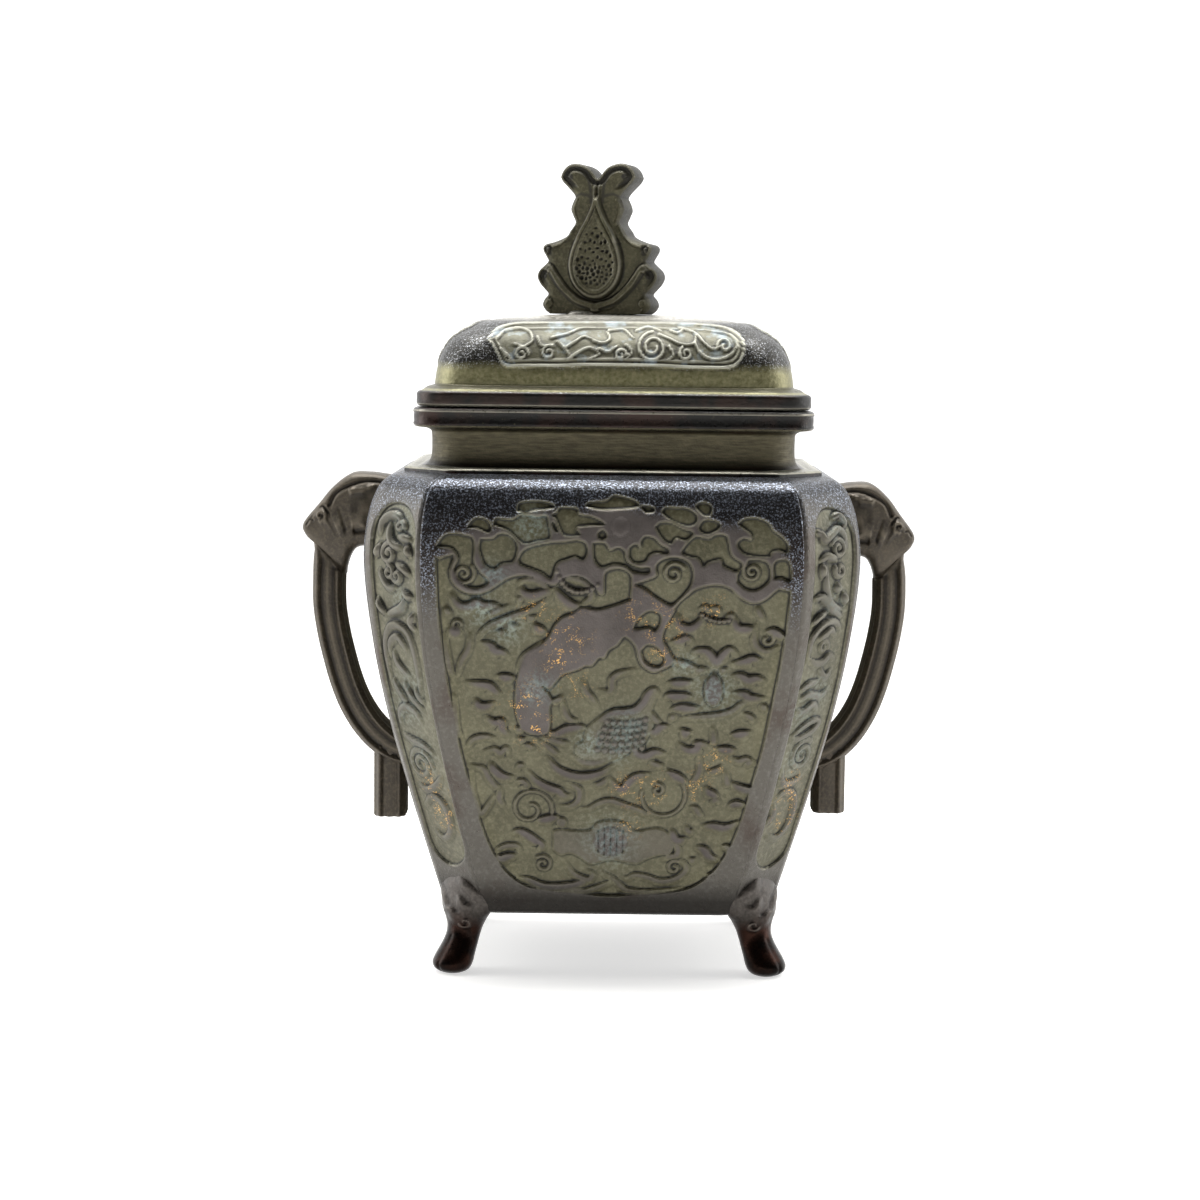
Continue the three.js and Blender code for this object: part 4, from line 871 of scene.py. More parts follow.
def ring(half_x, half_y, corner, z, arc=1.0, side=10, bend=12):
    """Rectangle whose corners are a mix of a straight cut and a quarter circle; arc 1 is all circle."""
    t = np.linspace(0, 1, bend + 1)[:, None]
    angle = t * math.pi / 2
    straight = np.hstack([half_x - corner + corner * t, -half_y + corner * t])
    curve = np.hstack([half_x - corner + corner * np.sin(angle), -half_y + corner - corner * np.cos(angle)])
    turn = straight + (curve - straight) * arc
    s = np.linspace(0, 1, side, endpoint=False)[:, None]
    first = np.hstack([(half_x - corner) * s, np.full_like(s, -half_y)])
    second = np.hstack([np.full_like(s, half_x), (corner - half_y) * (1 - s)])
    quarter = np.vstack([first, turn, second[1:], [[half_x, 0.0]]])
    mirror = quarter[-2::-1] * [1, -1]
    right = np.vstack([quarter, mirror])
    left = right[-2:0:-1] * [-1, 1]
    plan = np.vstack([right, left])
    return np.hstack([plan, np.full((len(plan), 1), z)])


def loft(rings):
    """Skins equal rings in order, and closes the first and the last with one face each."""
    rings = np.array(rings)
    count, around = rings.shape[:2]
    index = np.arange(count * around).reshape(count, around)
    beside = np.roll(index, -1, 1)
    quads = np.stack([index[:-1], beside[:-1], beside[1:], index[1:]], -1).reshape(-1, 4)
    return rings.reshape(-1, 3), [*quads.tolist(), index[0, ::-1].tolist(), index[-1].tolist()]


def plain_ring(half, corner, z, arc=1.0):
    return ring(half, half - depth_cut, corner, z, arc)


vessel_rows = [
    plain_ring(4, 2, foot_height + 0.1), plain_ring(half_width(0.4) - 2.2, 8, foot_height + 0.1, 0.2),
    plain_ring(half_width(0.4) - 1.0, 9, foot_height + 0.3, 0.1),
]
for h in np.linspace(2, 114, 30):
    behind_skin = float(half_width(h)) - skin_depth + 0.3
    vessel_rows.append(plain_ring(behind_skin, float(cant(h)), foot_height + h, 0.0))
plate_half = float(half_width(body_height)) - 0.1
plate_cant = float(cant(body_height))
for inset, z in ((0.3, shoulder_level - 0.8), (0.3, collar_level - 0.75), (0.42, collar_level - 0.35),
                 (0.8, collar_level - 0.1), (1.5, collar_level), (2.2, collar_level + 0.05)):
    vessel_rows.append(plain_ring(plate_half - inset, plate_cant, z, 0.12))
for inset, z in ((3.1, collar_level - 0.22), (3.8, collar_level - 0.22), (4.4, collar_level + 0.12)):
    vessel_rows.append(plain_ring(plate_half - inset, plate_cant - 0.6, z, 0.3))
neck_rows = line_through([
    (neck_half + 1.6, 10, collar_level + 0.2), (neck_half + 0.5, 10.6, neck_base + 0.9),
    (neck_half, 11, neck_base + 3), (neck_half, 11, rim_base - 2.2), (neck_half + 0.3, 10.8, rim_base - 1.0),
    (neck_half + 1.4, 10.2, rim_base - 0.35),
], 3)
rim_rows = [
    (rim_half - 1.2, rim_corner - 0.6, rim_base), (rim_half - 0.5, rim_corner - 0.2, rim_base + 0.15),
    (rim_half - 0.1, rim_corner, rim_base + 0.6), (rim_half, rim_corner, rim_base + 1.0),
    (rim_half - 0.15, rim_corner, rim_base + 1.4), (rim_half - 0.1, rim_corner, rim_base + 2.6),
    (rim_half - 0.15, rim_corner, rim_top - 1.3), (rim_half + 0.05, rim_corner, rim_top - 1.0),
    (rim_half, rim_corner, rim_top - 0.5), (rim_half - 0.4, rim_corner, rim_top - 0.1),
    (rim_half - 0.9, rim_corner, rim_top), (mouth_half + 1.2, 8, rim_top),
    (mouth_half + 0.3, 8, rim_top - 0.3), (mouth_half, 8, rim_top - 1.2), (mouth_half, 8, neck_base + 0.5),
]
vessel_rows += [plain_ring(*row) for row in [*neck_rows, *rim_rows]]
vessel_rows.append(plain_ring(float(half_width(body_height)) - wall - 1, 14, shoulder_level - wall - 1.5))
for h in np.linspace(108, floor_thickness + 1.5, 18):
    inner = float(half_width(h)) - recess - wall
    vessel_rows.append(plain_ring(inner, 1.5 * float(cant(h)), foot_height + h))
inner = float(half_width(floor_thickness)) - recess - wall
vessel_rows.append(plain_ring(inner - 1.5, 15, foot_height + floor_thickness))
vessel_rows.append(plain_ring(4, 2, foot_height + floor_thickness))


def rim_bronze():
    """Plain cast bronze with a brown-black patina: polished on the rim, grainy and sooty on the neck,
    painted darker at the neck's foot as shade, with thin pale lines painted on as highlights along the
    rim's edges and the collar's edge.
    """
    material, surface = new_material("brown_black_cast_bronze")
    cloud, grain, speck = noise(material, 11), noise(material, 1.0, 4), noise(material, 0.4, 2)
    height = object_height(material)
    streak = noise(material, 0.5, 3, stretch=(0.12, 0.12, 1))
    dark = blend(material, ramp(material, cloud, 0.46, 0.64), "#0d0c0a", "#24150f")
    neck = blend(material, ramp(material, streak, 0.35, 0.7), "#403b2b", "#5a5440")
    # Painted shade: the neck darkens towards its foot, where it meets the collar plate.
    foot = ramp(material, height, (neck_base + 2.5) / 1000, (neck_base - 0.5) / 1000, 0, 0.8)
    neck = blend(material, foot, neck, "#1c1a13")
    on_neck = calculate(material, "MULTIPLY", step_at(material, height, neck_base + 0.3, 0.7),
                        step_at(material, height, rim_base - 0.7, -0.5))
    colour = blend(material, on_neck, dark, neck)
    # Painted highlights: thin pale lines along the rim's lower and upper edges and the collar's edge, uneven in
    # strength.
    for low, high, highlight_colour in (
        (rim_base + 0.1, rim_base + 0.45, "#6f6a58"), (rim_top - 0.9, rim_top - 0.5, "#858176"),
        (collar_level - 0.5, collar_level + 0.08, "#a09d8e"),
    ):
        painted_edge_highlight = calculate(material, "MULTIPLY", step_at(material, height, low - 0.075, 0.075),
                              step_at(material, height, high + 0.05, -0.05))
        painted_edge_highlight = calculate(material, "MULTIPLY", painted_edge_highlight, ramp(material, cloud, 0.3, 0.5, 0.5, 0.9))
        colour = blend(material, painted_edge_highlight, colour, highlight_colour)
    colour = blend(material, ramp(material, grain, 0.66, 0.8, 0, 0.35), colour, "#7b745d")
    rough = ramp(material, grain, 0.3, 0.7, 0.24, 0.42)
    rough = calculate(material, "ADD", rough, calculate(material, "MULTIPLY", on_neck, 0.2))
    return dress(material, surface, colour, 0.6, rough, (grain, 0.3, 0.3), (speck, 0.4, 0.12))


plain_bronze = rim_bronze()
body_core = add_piece("body_wall_neck_and_rim", *loft(vessel_rows))
finish_piece(body_core, plain_bronze, "patinated_bronze", "body")

# Four feet
# Cast with the vessel: a leafy mask swells out of each canted corner, draws in to an ankle and ends in a
# hoof.
# Columns: height, lean out of the corner, half width across, half thickness.

foot_rows = np.array([
    [0, 4.0, 2.6, 2.6], [0.5, 4.1, 3.9, 3.8], [1.4, 4.2, 4.9, 4.8], [2.8, 4.0, 5.4, 5.3],
    [4.6, 3.2, 5.3, 5.1],
    [7, 1.8, 5.0, 4.6], [9.6, 0.5, 4.8, 4.3], [12, -0.2, 5.3, 4.3], [14.4, -0.5, 6.7, 4.6],
    [16.4, -0.7, 8.2, 4.8],
    [20, -0.8, 8.5, 4.8], [25, -1.1, 8.0, 4.3], [29.5, -2.2, 6.4, 3.2], [33, -3.6, 3.6, 1.8],
])
# Hand-made feet differ: how far each stands to the right at its root and at its sole
foot_shift = {
    "front_left": (0.8, 0.6), "front_right": (-0.4, 0.5), "rear_left": (0.6, 0.2), "rear_right": (-0.5, 0.0),
}
mask_lines = [
    [(-5.6, 26.6), (-3.2, 29), (-0.6, 28.4), (1.4, 26.4)],
    [(0.4, 27.6), (2.8, 24.8), (5.4, 22.8), (7.2, 20.6)], [(-7, 22.4), (-4.4, 20.2), (-2.8, 17)],
    [(-4.6, 15.8), (-1.6, 16.8), (1, 15.4), (3.8, 16.2)], [(1.6, 20.4), (3.8, 18.2), (5.4, 18.6)],
]


def foot_skin(sx, sy, shift):
    """Rings round a leaning axis: an ellipse whose front carries the mask as relief along its normal."""
    rows = equal_foot_levels
    around = np.linspace(0, 2 * math.pi, 72, endpoint=False)
    z = np.repeat(rows[:, None], len(around), 1)
    lean, across, thick = (fair(foot_rows, z, column) for column in (1, 2, 3))
    angle = np.repeat(around[None], len(rows), 0)
    u = across * np.sin(angle)
    relief = np.zeros(z.shape)
    for points in mask_lines:
        raise_lip(relief, u, z, line_through(points, 5), 0.7, 3.2)
    raise_line(relief, u, z, spiral(3.6, 13.6, 1.5, 200, 0.9), 0.9, 0.6, tip=0.9, edge=0.7)
    relief *= smooth_step((z - 6.5) / 3)
    cut_line(relief, u, z, np.array([(0.2, 1.2), (0, 9.6)]), 1.4, 0.25)
    relief *= smooth_step((np.cos(angle) + 0.1) / 0.6)
    out = lean + (thick + relief) * np.cos(angle)
    wide = (across + relief) * np.sin(angle)
    corner_x = float(half_width(2)) - float(cant(0)) / 2
    corner_y = corner_x - depth_cut
    slope = math.sqrt(0.5)
    x = sx * (corner_x + (out - wide) * slope) + shift[1] + (shift[0] - shift[1]) * z / 32
    y = sy * (corner_y + (out + wide) * slope)
    points = np.stack([x, y, z], -1)
    if sx * sy < 0:
        points, relief = points[:, ::-1], relief[:, ::-1]
    wear = np.clip((relief - blur(relief, 4)) / 0.25, -1, 1)
    return points, wear


equal_foot_levels = np.concatenate([np.linspace(0, 2, 8, endpoint=False), np.linspace(2, 33, 84)])


def foot_bronze():
    """The vessel's bronze where the feet are handled and stand on wood: brown black, glossy on the hoof;
    painted shade in the creases of the mask and a pale painted highlight with rubbing on its ridges.
    """
    material, surface = new_material("glossy_brown_black_foot_bronze")
    wear = attribute(material, "wear")
    cloud, grain = noise(material, 7), noise(material, 0.9, 4)
    height = object_height(material)
    high = ramp(material, height, 0.012, 0.019)
    hoof = blend(material, ramp(material, cloud, 0.4, 0.6), "#14100e", "#2a1a14")
    mask = blend(material, ramp(material, grain, 0.4, 0.7), "#38332e", "#504a45")
    colour = blend(material, high, hoof, mask)
    # Painted shade in the mask's creases; a pale painted highlight with rubbing on its ridges.
    colour = blend(material, ramp(material, wear, -0.1, -0.8, 0, 0.8), colour, "#100d09")
    colour = blend(material, ramp(material, wear, 0.3, 1.0, 0, 0.3), colour, "#8a837b")
    rough = calculate(material, "ADD", ramp(material, grain, 0.3, 0.7, 0.26, 0.36),
                      calculate(material, "MULTIPLY", high, 0.08))
    return dress(material, surface, colour, ramp(material, high, 0, 1, 0.95, 0.45), rough, (grain, 0.3, 0.25))


hoof_bronze = foot_bronze()
for name in foot_shift:
    sx, sy = -1 if name.endswith("left") else 1, -1 if name.startswith("front") else 1
    rings, wear = foot_skin(sx, sy, foot_shift[name])
    foot = add_piece(f"body_foot_{name}", *loft(rings), wear=wear)
    finish_piece(foot, hoof_bronze, "patinated_bronze", "body")

# Lid
# A hollow cushion casting that lifts off: flat rim, sloping ledge, dome and a lip that drops into the mouth.
# Each face of the dome has a cartouche within a double line; the corners between them are plain and sooty.

lid_base = rim_top + 0.35
lid_half = 51.1
lid_wall = 3.0
ledge_level = lid_base + 4.1
dome_base = ledge_level + 1.3
dome_half = 47.0
dome_height = 18.8
dome_top = dome_base + dome_height
lip_half = mouth_half - 0.8
lip_wall = 2.2
dome_rows = np.array([
    [0, 0], [0.2, 0.5], [0.38, 1.4], [0.54, 2.9], [0.66, 4.7], [0.78, 8.0], [0.88, 12.2], [0.96, 21.4],
    [1.0, 33.0],
])

cartouche_outline = line_through([
    (-32.4, 12), (-30.8, 14.4), (-28, 15.4), (-24, 16), (-12, 16.3), (0, 16.5), (12, 16.5), (24, 16.1),
    (30, 15),
    (32.8, 12.8), (33.4, 10), (32.2, 7), (29.8, 5.6), (24, 5.3), (12, 5.6), (0, 5.8), (-12, 5.5), (-24, 5.2),
    (-28.4, 5.4), (-30, 8),
], 5)
cartouche_lines = [
    [(-30.4, 12), (-28.4, 14.2), (-25, 14.8), (-22, 13.8), (-21.4, 11.6), (-23.4, 10.2), (-26, 10.8)],
    [(-29.4, 9.4), (-27.4, 7.6), (-26.6, 6.6)], [(-20, 12.6), (-18.8, 10.4), (-16, 10.6)],
    [(-14.6, 11.4), (-12.6, 9.4), (-11, 7.2)], [(-16.4, 12.4), (-12.4, 13.4), (-9, 14.8), (-5, 15)],
    [(-12, 7), (-9.4, 8.8), (-6.4, 10), (-4, 8.4), (-7, 7)],
    [(-13, 9.8), (-10.4, 11.4), (-8, 12.8), (-5.4, 12)], [(-5.4, 11.8), (-3, 11.2), (-1.2, 12.4), (-2, 14)],
    [(-1.6, 14.4), (2.4, 14.6), (4.8, 12.6)], [(-4, 9.8), (-1.6, 9), (0.4, 10.4)],
    [(3, 10.8), (4.4, 9), (3, 7.2)], [(5.6, 14.4), (8.6, 15.4), (12, 14.4)],
    [(11.4, 13.6), (14.4, 12.4), (17.2, 11.2), (20.4, 11.4), (21, 13.4)],
    [(14.4, 14.6), (16.2, 14), (17.8, 15)],
    [(16.6, 15.4), (20.8, 14), (23.2, 11.6), (25.4, 10), (27.6, 10.8)],
    [(20.6, 11.6), (22.4, 8.8), (25.4, 7.4), (29.2, 8.2), (31.6, 11), (30, 13.6), (26.4, 14.4)],
    [(14, 10.6), (15.2, 8.6), (14, 7.2)],
]
cartouche_scrolls = [
    spiral(-24, 8.2, 1.9, 0, 1.3), spiral(-17, 8.6, 1.9, 60, 1.3), spiral(1.6, 8.2, 1.6, 0, 1.2),
    spiral(9.8, 10.2, 4.0, 90, 1.8), spiral(18.4, 8.8, 1.8, 120, 1.3), spiral(28.4, 10.8, 2.0, 180, -1.1),
]


lid_side, lid_bend = 68, 22
lid_rows = [
    (lip_half - lip_wall, 6, lid_base - 4), (lip_half - 1, 6.8, lid_base - 4),
    (lip_half, 7.4, lid_base - 3.7), (lip_half, 7.4, lid_base), (lid_half - 0.9, rim_corner, lid_base),
    (lid_half - 0.3, rim_corner, lid_base + 0.2), (lid_half, rim_corner, lid_base + 0.7),
    (lid_half, rim_corner, lid_base + 1.5), (lid_half, rim_corner, ledge_level - 1.4),
    (lid_half, rim_corner, ledge_level - 0.9), (lid_half - 0.25, rim_corner, ledge_level - 0.4),
    (lid_half - 0.8, rim_corner, ledge_level - 0.1), (lid_half - 1.4, rim_corner + 0.2, ledge_level + 0.1),
    (dome_half + 1.6, rim_corner + 1.4, dome_base - 0.35), (dome_half + 0.7, 11, dome_base - 0.25),
    (dome_half + 0.2, 11.6, dome_base - 0.05),
]


def lid_ring(half, corner, z):
    return ring(half, half - depth_cut, corner, z, 1.0, lid_side, lid_bend)


def dome_corner(inset, smaller=0.0):
    return min(12 - 0.1 * inset - smaller, dome_half - inset - depth_cut - 0.2)


def cartouche_relief(u, rise):
    """Two pale lines round a cartouche and the scrolls inside it; also where the cartouche is."""
    d, _, _ = distance(u, rise, np.vstack([cartouche_outline, cartouche_outline[:1]]), 2.2)
    within = inside(u, rise, cartouche_outline)
    relief = 0.5 * smooth_step((0.35 - d) / 0.35 + 0.5)
    relief = np.maximum(relief, 0.35 * smooth_step((0.25 - np.abs(d - 1.35)) / 0.3 + 0.5) * within)
    motif = np.zeros(rise.shape)
    for points in cartouche_lines:
        raise_line(motif, u, rise, line_through(points, 5), 0.7, 0.5, edge=0.35)
    for line in cartouche_scrolls:
        raise_line(motif, u, rise, line, 0.7, 0.5, tip=0.8, edge=0.35)
    return np.maximum(relief, motif * (within & (d > 0.9))), within


def dome_mesh():
    """Rows evenly spaced along the dome's curve; the relief goes out along the surface normal."""
    fine = np.linspace(0, 1, 2000)
    run = np.hypot(np.diff(fair(dome_rows, fine, 1)), dome_height * np.diff(fine))
    run = np.concatenate([[0], np.cumsum(run)])
    share = np.interp(np.linspace(0.1, run[-1], 118), run, fine)
    inset = fair(dome_rows, share, 1)
    corner = np.array([dome_corner(each) for each in inset])
    dome = np.array([lid_ring(dome_half - i, c, dome_base + dome_height * s)
                     for i, c, s in zip(inset, corner, share)])
    rise = dome[..., 2] - dome_base
    flat = np.stack([dome_half - inset - corner, dome_half - depth_cut - inset - corner], 1)[:, None]
    away = dome[..., :2] - np.clip(dome[..., :2], -flat, flat)
    away /= np.hypot(away[..., 0], away[..., 1])[..., None] + 1e-9
    broad = np.abs(away[..., 1]) >= np.abs(away[..., 0])
    relief, panel = np.zeros(rise.shape), np.zeros(rise.shape)
    for axis, sign in ((1, -1), (1, 1), (0, 1), (0, -1)):
        facing = (broad if axis else ~broad) & (np.sign(away[..., axis]) == sign)
        u = -sign * dome[..., 0] if axis else sign * dome[..., 1] * cartouche_half / end_cartouche_half
        lift, within = cartouche_relief(np.where(facing, u, 99.0), rise)
        relief, panel = np.maximum(relief, lift), np.maximum(panel, within.astype(float))
    up, out = np.gradient(inset)[:, None], (dome_height * np.gradient(share))[:, None]
    length = np.hypot(up, out)
    dome[..., :2] += away * (relief * out / length)[..., None]
    dome[..., 2] += relief * up / length
    return dome, relief, panel


cartouche_half, end_cartouche_half = 33.0, 24.0
dome, lid_relief, lid_panel = dome_mesh()
lid_rings = np.concatenate([[lid_ring(*row) for row in lid_rows], dome])
before_dome = len(lid_rows)
under_rows = [lid_ring(lip_half - lip_wall, 6, dome_base)]
for under_share in np.linspace(0.5, 0.97, 14):
    under_inset = float(fair(dome_rows, under_share, 1))
    under_half = min(dome_half - under_inset - lid_wall, lip_half - lip_wall)
    under_corner = min(dome_corner(under_inset, lid_wall / 2), under_half - depth_cut - 0.2)
    under_rows.append(lid_ring(under_half, under_corner, dome_base + dome_height * under_share - lid_wall))


def closed_shell(outer, under):
    """Outer rings from the inside edge of the lip to the top; the underside runs on as a second stack of
    rings from the same edge up to its own top, so that the two stacks close one hollow shell."""
    count, around = outer.shape[:2]
    index = np.arange(count * around).reshape(count, around)
    beside = np.roll(index, -1, 1)
    quads = np.stack([index[:-1], beside[:-1], beside[1:], index[1:]], -1).reshape(-1, 4)
    lower = count * around + np.arange(len(under) * around).reshape(len(under), around)
    stack = np.vstack([index[:1], lower])
    beside = np.roll(stack, -1, 1)
    back = np.stack([stack[:-1], stack[1:], beside[1:], beside[:-1]], -1).reshape(-1, 4)
    points = np.vstack([outer.reshape(-1, 3), under.reshape(-1, 3)])
    return points, [*quads.tolist(), *back.tolist(), index[-1].tolist(), lower[-1, ::-1].tolist()]


lid_wear_and_painted_light = np.clip((lid_relief - blur(lid_relief, 4)) / 0.2, -1, 1)


def lid_bronze():
    """Lid patina: sooty black on the corners with pale specks painted in as glints, a pale painted highlight
    along the top of the dome, olive green on the plain band under the cartouche, pale rubbed lines on the
    relief with a pale painted highlight on their edges and painted shade beside them, a pale painted
    highlight line along the lid's lower edge, with a little blue bloom."""
    material, surface = new_material("olive_and_black_lid_bronze")
    raised, panel, wear = (attribute(material, key) for key in ("raised", "panel", "wear"))
    cloud, grain, speck = noise(material, 9), noise(material, 1.0, 4), noise(material, 0.4, 2)
    height = object_height(material)
    black = blend(material, ramp(material, grain, 0.4, 0.7), "#15140f", "#2d2a22")
    # Pale specks painted in as glints on the sooty black.
    black = blend(material, ramp(material, speck, 0.56, 0.66, 0, 0.8), black, "#a9abae")
    # Painted highlight: the top of the dome turns pale.
    top = ramp(material, height, (dome_top - 2.2) / 1000, (dome_top - 1.0) / 1000)
    painted_top_highlight = blend(material, ramp(material, grain, 0.4, 0.6), "#8d897f", "#c4c1b8")
    black = blend(material, top, black, painted_top_highlight)
    olive = blend(material, ramp(material, grain, 0.35, 0.7), "#6c6949", "#8d8967")
    band = ramp(material, calculate(material, "ADD", height, calculate(material, "MULTIPLY", cloud, 0.002)),
                (dome_base + 7.5) / 1000, (dome_base + 5) / 1000)
    rim = ramp(material, height, (ledge_level - 0.3) / 1000, (ledge_level + 0.1) / 1000)
    colour = blend(material, calculate(material, "MULTIPLY", band, rim), black, olive)
    ground = blend(material, ramp(material, cloud, 0.35, 0.65), "#4c4a38", "#6a6855")
    colour = blend(material, panel, colour, ground)
    colour = blend(material, ramp(material, raised, 0.15, 0.5, 0, 0.75), colour, "#96958a")
    # Painted shade beside the raised lines; a pale painted highlight with rubbing on their edges.
    colour = blend(material, ramp(material, wear, -0.1, -0.8, 0, 0.85), colour, "#15130d")
    colour = blend(material, ramp(material, wear, 0.2, 0.9, 0, 0.5), colour, "#b4b3a4")
    bloom = calculate(material, "MULTIPLY", panel, ramp(material, noise(material, 6), 0.54, 0.66, 0, 0.4))
    colour = blend(material, bloom, colour, "#9fb0ba")
    edge = ramp(material, height, (ledge_level - 0.1) / 1000, (ledge_level - 0.5) / 1000)
    rim_brown = blend(material, ramp(material, cloud, 0.45, 0.6), "#12110e", "#261a14")
    colour = blend(material, edge, colour, rim_brown)
    slope = calculate(material, "MULTIPLY", step_at(material, height, ledge_level + 0.375, 0.125),
                      step_at(material, height, dome_base + 0.3, -0.3))
    colour = blend(material, slope, colour, "#45422f")
    # Painted highlight: a pale line along the lid's lower edge.
    painted_foot_highlight = ramp(material, height, (lid_base + 0.8) / 1000, (lid_base + 0.5) / 1000)
    colour = blend(material, calculate(material, "MULTIPLY", painted_foot_highlight, 0.7), colour, "#8b887b")
    rough = calculate(material, "ADD", ramp(material, grain, 0.3, 0.7, 0.28, 0.46),
                      calculate(material, "MULTIPLY", panel, 0.12))
    return dress(material, surface, colour, ramp(material, panel, 0, 1, 0.55, 0.3), rough, (grain, 0.35, 0.3),
                 (speck, 0.5, 0.12))


lid_attributes = {
    key: np.pad(values, ((before_dome, 0), (0, 0)))
    for key, values in (("raised", lid_relief), ("wear", lid_wear_and_painted_light), ("panel", lid_panel))
}
lid = add_piece("lid_casting", *closed_shell(lid_rings, np.array(under_rows)), **lid_attributes)
lid_metal = lid_bronze()
finish_piece(lid, lid_metal, "patinated_bronze", "lid")

# Finial
# A thick cast plate pinned to a low boss on the lid: a seeded bud between two pairs of volutes,
# turned a little from the front and a little off the middle. Its raised rims are pale olive from rubbing
# and a painted highlight; its pits, creases and hollows and a band along its edge are darkened with dirt
# and painted shade.

finial_base = 1000 * np.array(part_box("finial")[0])[2]
finial_half, finial_tall = 16.9, 40.1
finial_thickness = 12.4
finial_gap = 0.9
finial_turn = math.radians(15)
finial_offset = -3.8
finial_shoulder = 36.6
bud_side = np.array([
    [0, 12.6], [1.0, 13.8], [2.4, 14.5], [3.8, 14.1], [5.3, 13.05], [6.6, 14.0], [8.0, 15.2], [9.9, 16.0],
    [11.6, 15.5], [13.2, 13.9], [14.2, 13.1], [15.3, 13.6], [17.2, 14.5], [18.6, 13.9], [19.3, 11.4],
    [20.7, 8.3],
    [22.3, 7.2], [24.4, 5.9], [26.2, 6.5], [27.9, 7.1], [29.6, 6.7], [31.1, 6.0], [32.2, 6.5], [34, 8.1],
    [35.4, 9.4], [finial_shoulder, 10.0],
])
bud_top = np.array([
    [0, 36.2], [0.7, 36.9], [1.6, 38.2], [2.7, 39.2], [4.2, 39.9], [6, 40.2], [7.6, 39.9], [8.8, 39.0],
    [9.6, 37.8],
    [10.0, finial_shoulder],
])
drop_rows = np.array([
    [4.2, 0], [4.3, 1.1], [4.7, 2.2], [5.4, 3.3], [7, 5.0], [9.2, 6.3], [11.5, 6.9], [13.5, 7.0],
    [16.5, 6.5], [19.6, 5.4],
    [22, 4.3], [24.4, 3.0], [27.5, 1.6], [30, 0.8], [34, 0.5], [36.2, 0.4],
])
# Raised bands: the strap from under the drop out to the lower volute, then rims of volutes, lobes and knobs
bud_lines = [
    ([(0, 1.8), (3.8, 2.8), (6.4, 4.5), (8.8, 6.9), (10.8, 9.7), (12.4, 12.1), (14, 12.7)], 2.4, 1.3),
    ([(5.4, 24.6), (6.2, 27.6), (5.4, 30.4)], 1.0, 0.6),
    ([(12.6, 18.3), (10, 18.9), (7.8, 20.9), (6.4, 23.4)], 1.5, 0.9),
    ([(12.6, 0.9), (13.8, 2.6), (12.9, 4.4)], 1.1, 0.6),
]
bud_hollows = [((13.9, 10.2), (1.2, 1.3), 0.9), ((7.4, 36.6), (1.5, 1.3), 0.9)]
bud_grooves = [
    [(1.5, 29.8), (1.8, 34), (2.8, 36.6), (4.6, 38)],
    [(12.4, 10.7), (10.4, 7.4), (8.1, 4.9), (5.4, 2.7), (1.4, 1.2)], [(1.8, 31.4), (4, 32), (6.2, 31.2)],
    [(12.4, 16), (12.2, 17.6), (13.2, 18.4)],
]


def finial_grid(columns, rows):
    """Rows of the plate: x is a share of the side's half width; towards the top the rows bend until the
    last one follows the notched top edge. Rows and columns are closer near the rim."""
    even = np.linspace(-1, 1, columns)[None]
    share = 0.5 * even + 0.5 * np.sin(even * math.pi / 2)
    rise = np.linspace(0, 1, rows)[:, None]
    side_height = finial_shoulder * rise
    x = share * fair(bud_side, side_height, 1)
    bend = smooth_step((rise - 0.6) / 0.4) ** 1.6
    top = fair(bud_top, np.abs(share) * bud_side[-1, 1], 1)
    return x, side_height + bend * (top - finial_shoulder)


def finial_relief(x, z):
    """Raised drop with a rim and a pitted field; straps, volutes, lobes and knobs mirrored about the middle.
    Also how dark each point is painted: dirt and painted shade in the pits, creases and hollows and along
    the drop's rim."""
    rise = 4.2 + 32 * np.linspace(0, 1, 90) ** 1.8
    right = np.stack([fair(drop_rows, rise, 1), rise], 1)
    outline = np.vstack([right, right[:0:-1] * [-1, 1]])
    away, _, _ = distance(x, z, np.vstack([outline, outline[:1]]), 8.0)
    away = np.where(inside(x, z, outline), away, -away)
    drop = 1.9 * smooth_step(away / 0.9 + 0.6)
    drop -= 0.35 * smooth_step(1 - np.abs(away - 1.0) / 0.35) + 0.5 * smooth_step((away - 1.9) / 0.6)
    grown = smooth_step((away - 1.7) / 0.5)
    pits = np.zeros(x.shape)
    for k in range(70):
        turn, reach = k * math.radians(137.5), 0.66 * math.sqrt(k)
        stretch = 2.0 if math.sin(turn) > 0 else 1.1
        middle = (reach * math.cos(turn), 13.4 + reach * math.sin(turn) * stretch)
        radii = (0.45 + 0.3 * math.sin(3 * k) ** 2, 0.4 + 0.45 * math.cos(5 * k) ** 2)
        raise_boss(pits, x, z, middle, radii, 0.35 + 0.5 * math.sin(7 * k) ** 2, edge=0.8)
    side = np.abs(x)
    straps = np.zeros(x.shape)
    for points, width, height in bud_lines:
        raise_line(straps, side, z, line_through(points, 6), width, height, tip=0.8, edge=0.7)
    raise_boss(straps, side, z, (13.4, 17.2), (1.4, 1.4), 1.1)
    raise_boss(straps, side, z, (9.4, 19.9), (1.0, 0.9), 0.9)
    raise_boss(straps, side, z, (12.7, 2.8), (1.5, 1.5), 0.7)
    for middle, radii, depth in bud_hollows:
        hollow = np.zeros(x.shape)
        raise_boss(hollow, side, z, middle, radii, depth, edge=0.7)
        straps -= hollow
    creases = np.zeros(x.shape)
    for points in bud_grooves:
        raise_line(creases, side, z, line_through(points, 6), 0.9, 0.8, tip=0.7, edge=0.6)
    relief = np.maximum(drop, straps - creases) - pits * grown
    relief -= 2.2 * smooth_step(1 - side / 0.9) * smooth_step((z - 30) / 2)
    dirt = np.clip(pits * grown * 1.6, 0, 1) + 0.5 * smooth_step(1 - np.abs(away) / 0.5) * (z > 4)
    dirt = np.maximum(dirt, np.maximum(smooth_step(-straps / 0.6), creases * (away < -0.4)))
    return relief, np.clip(dirt, 0, 1)


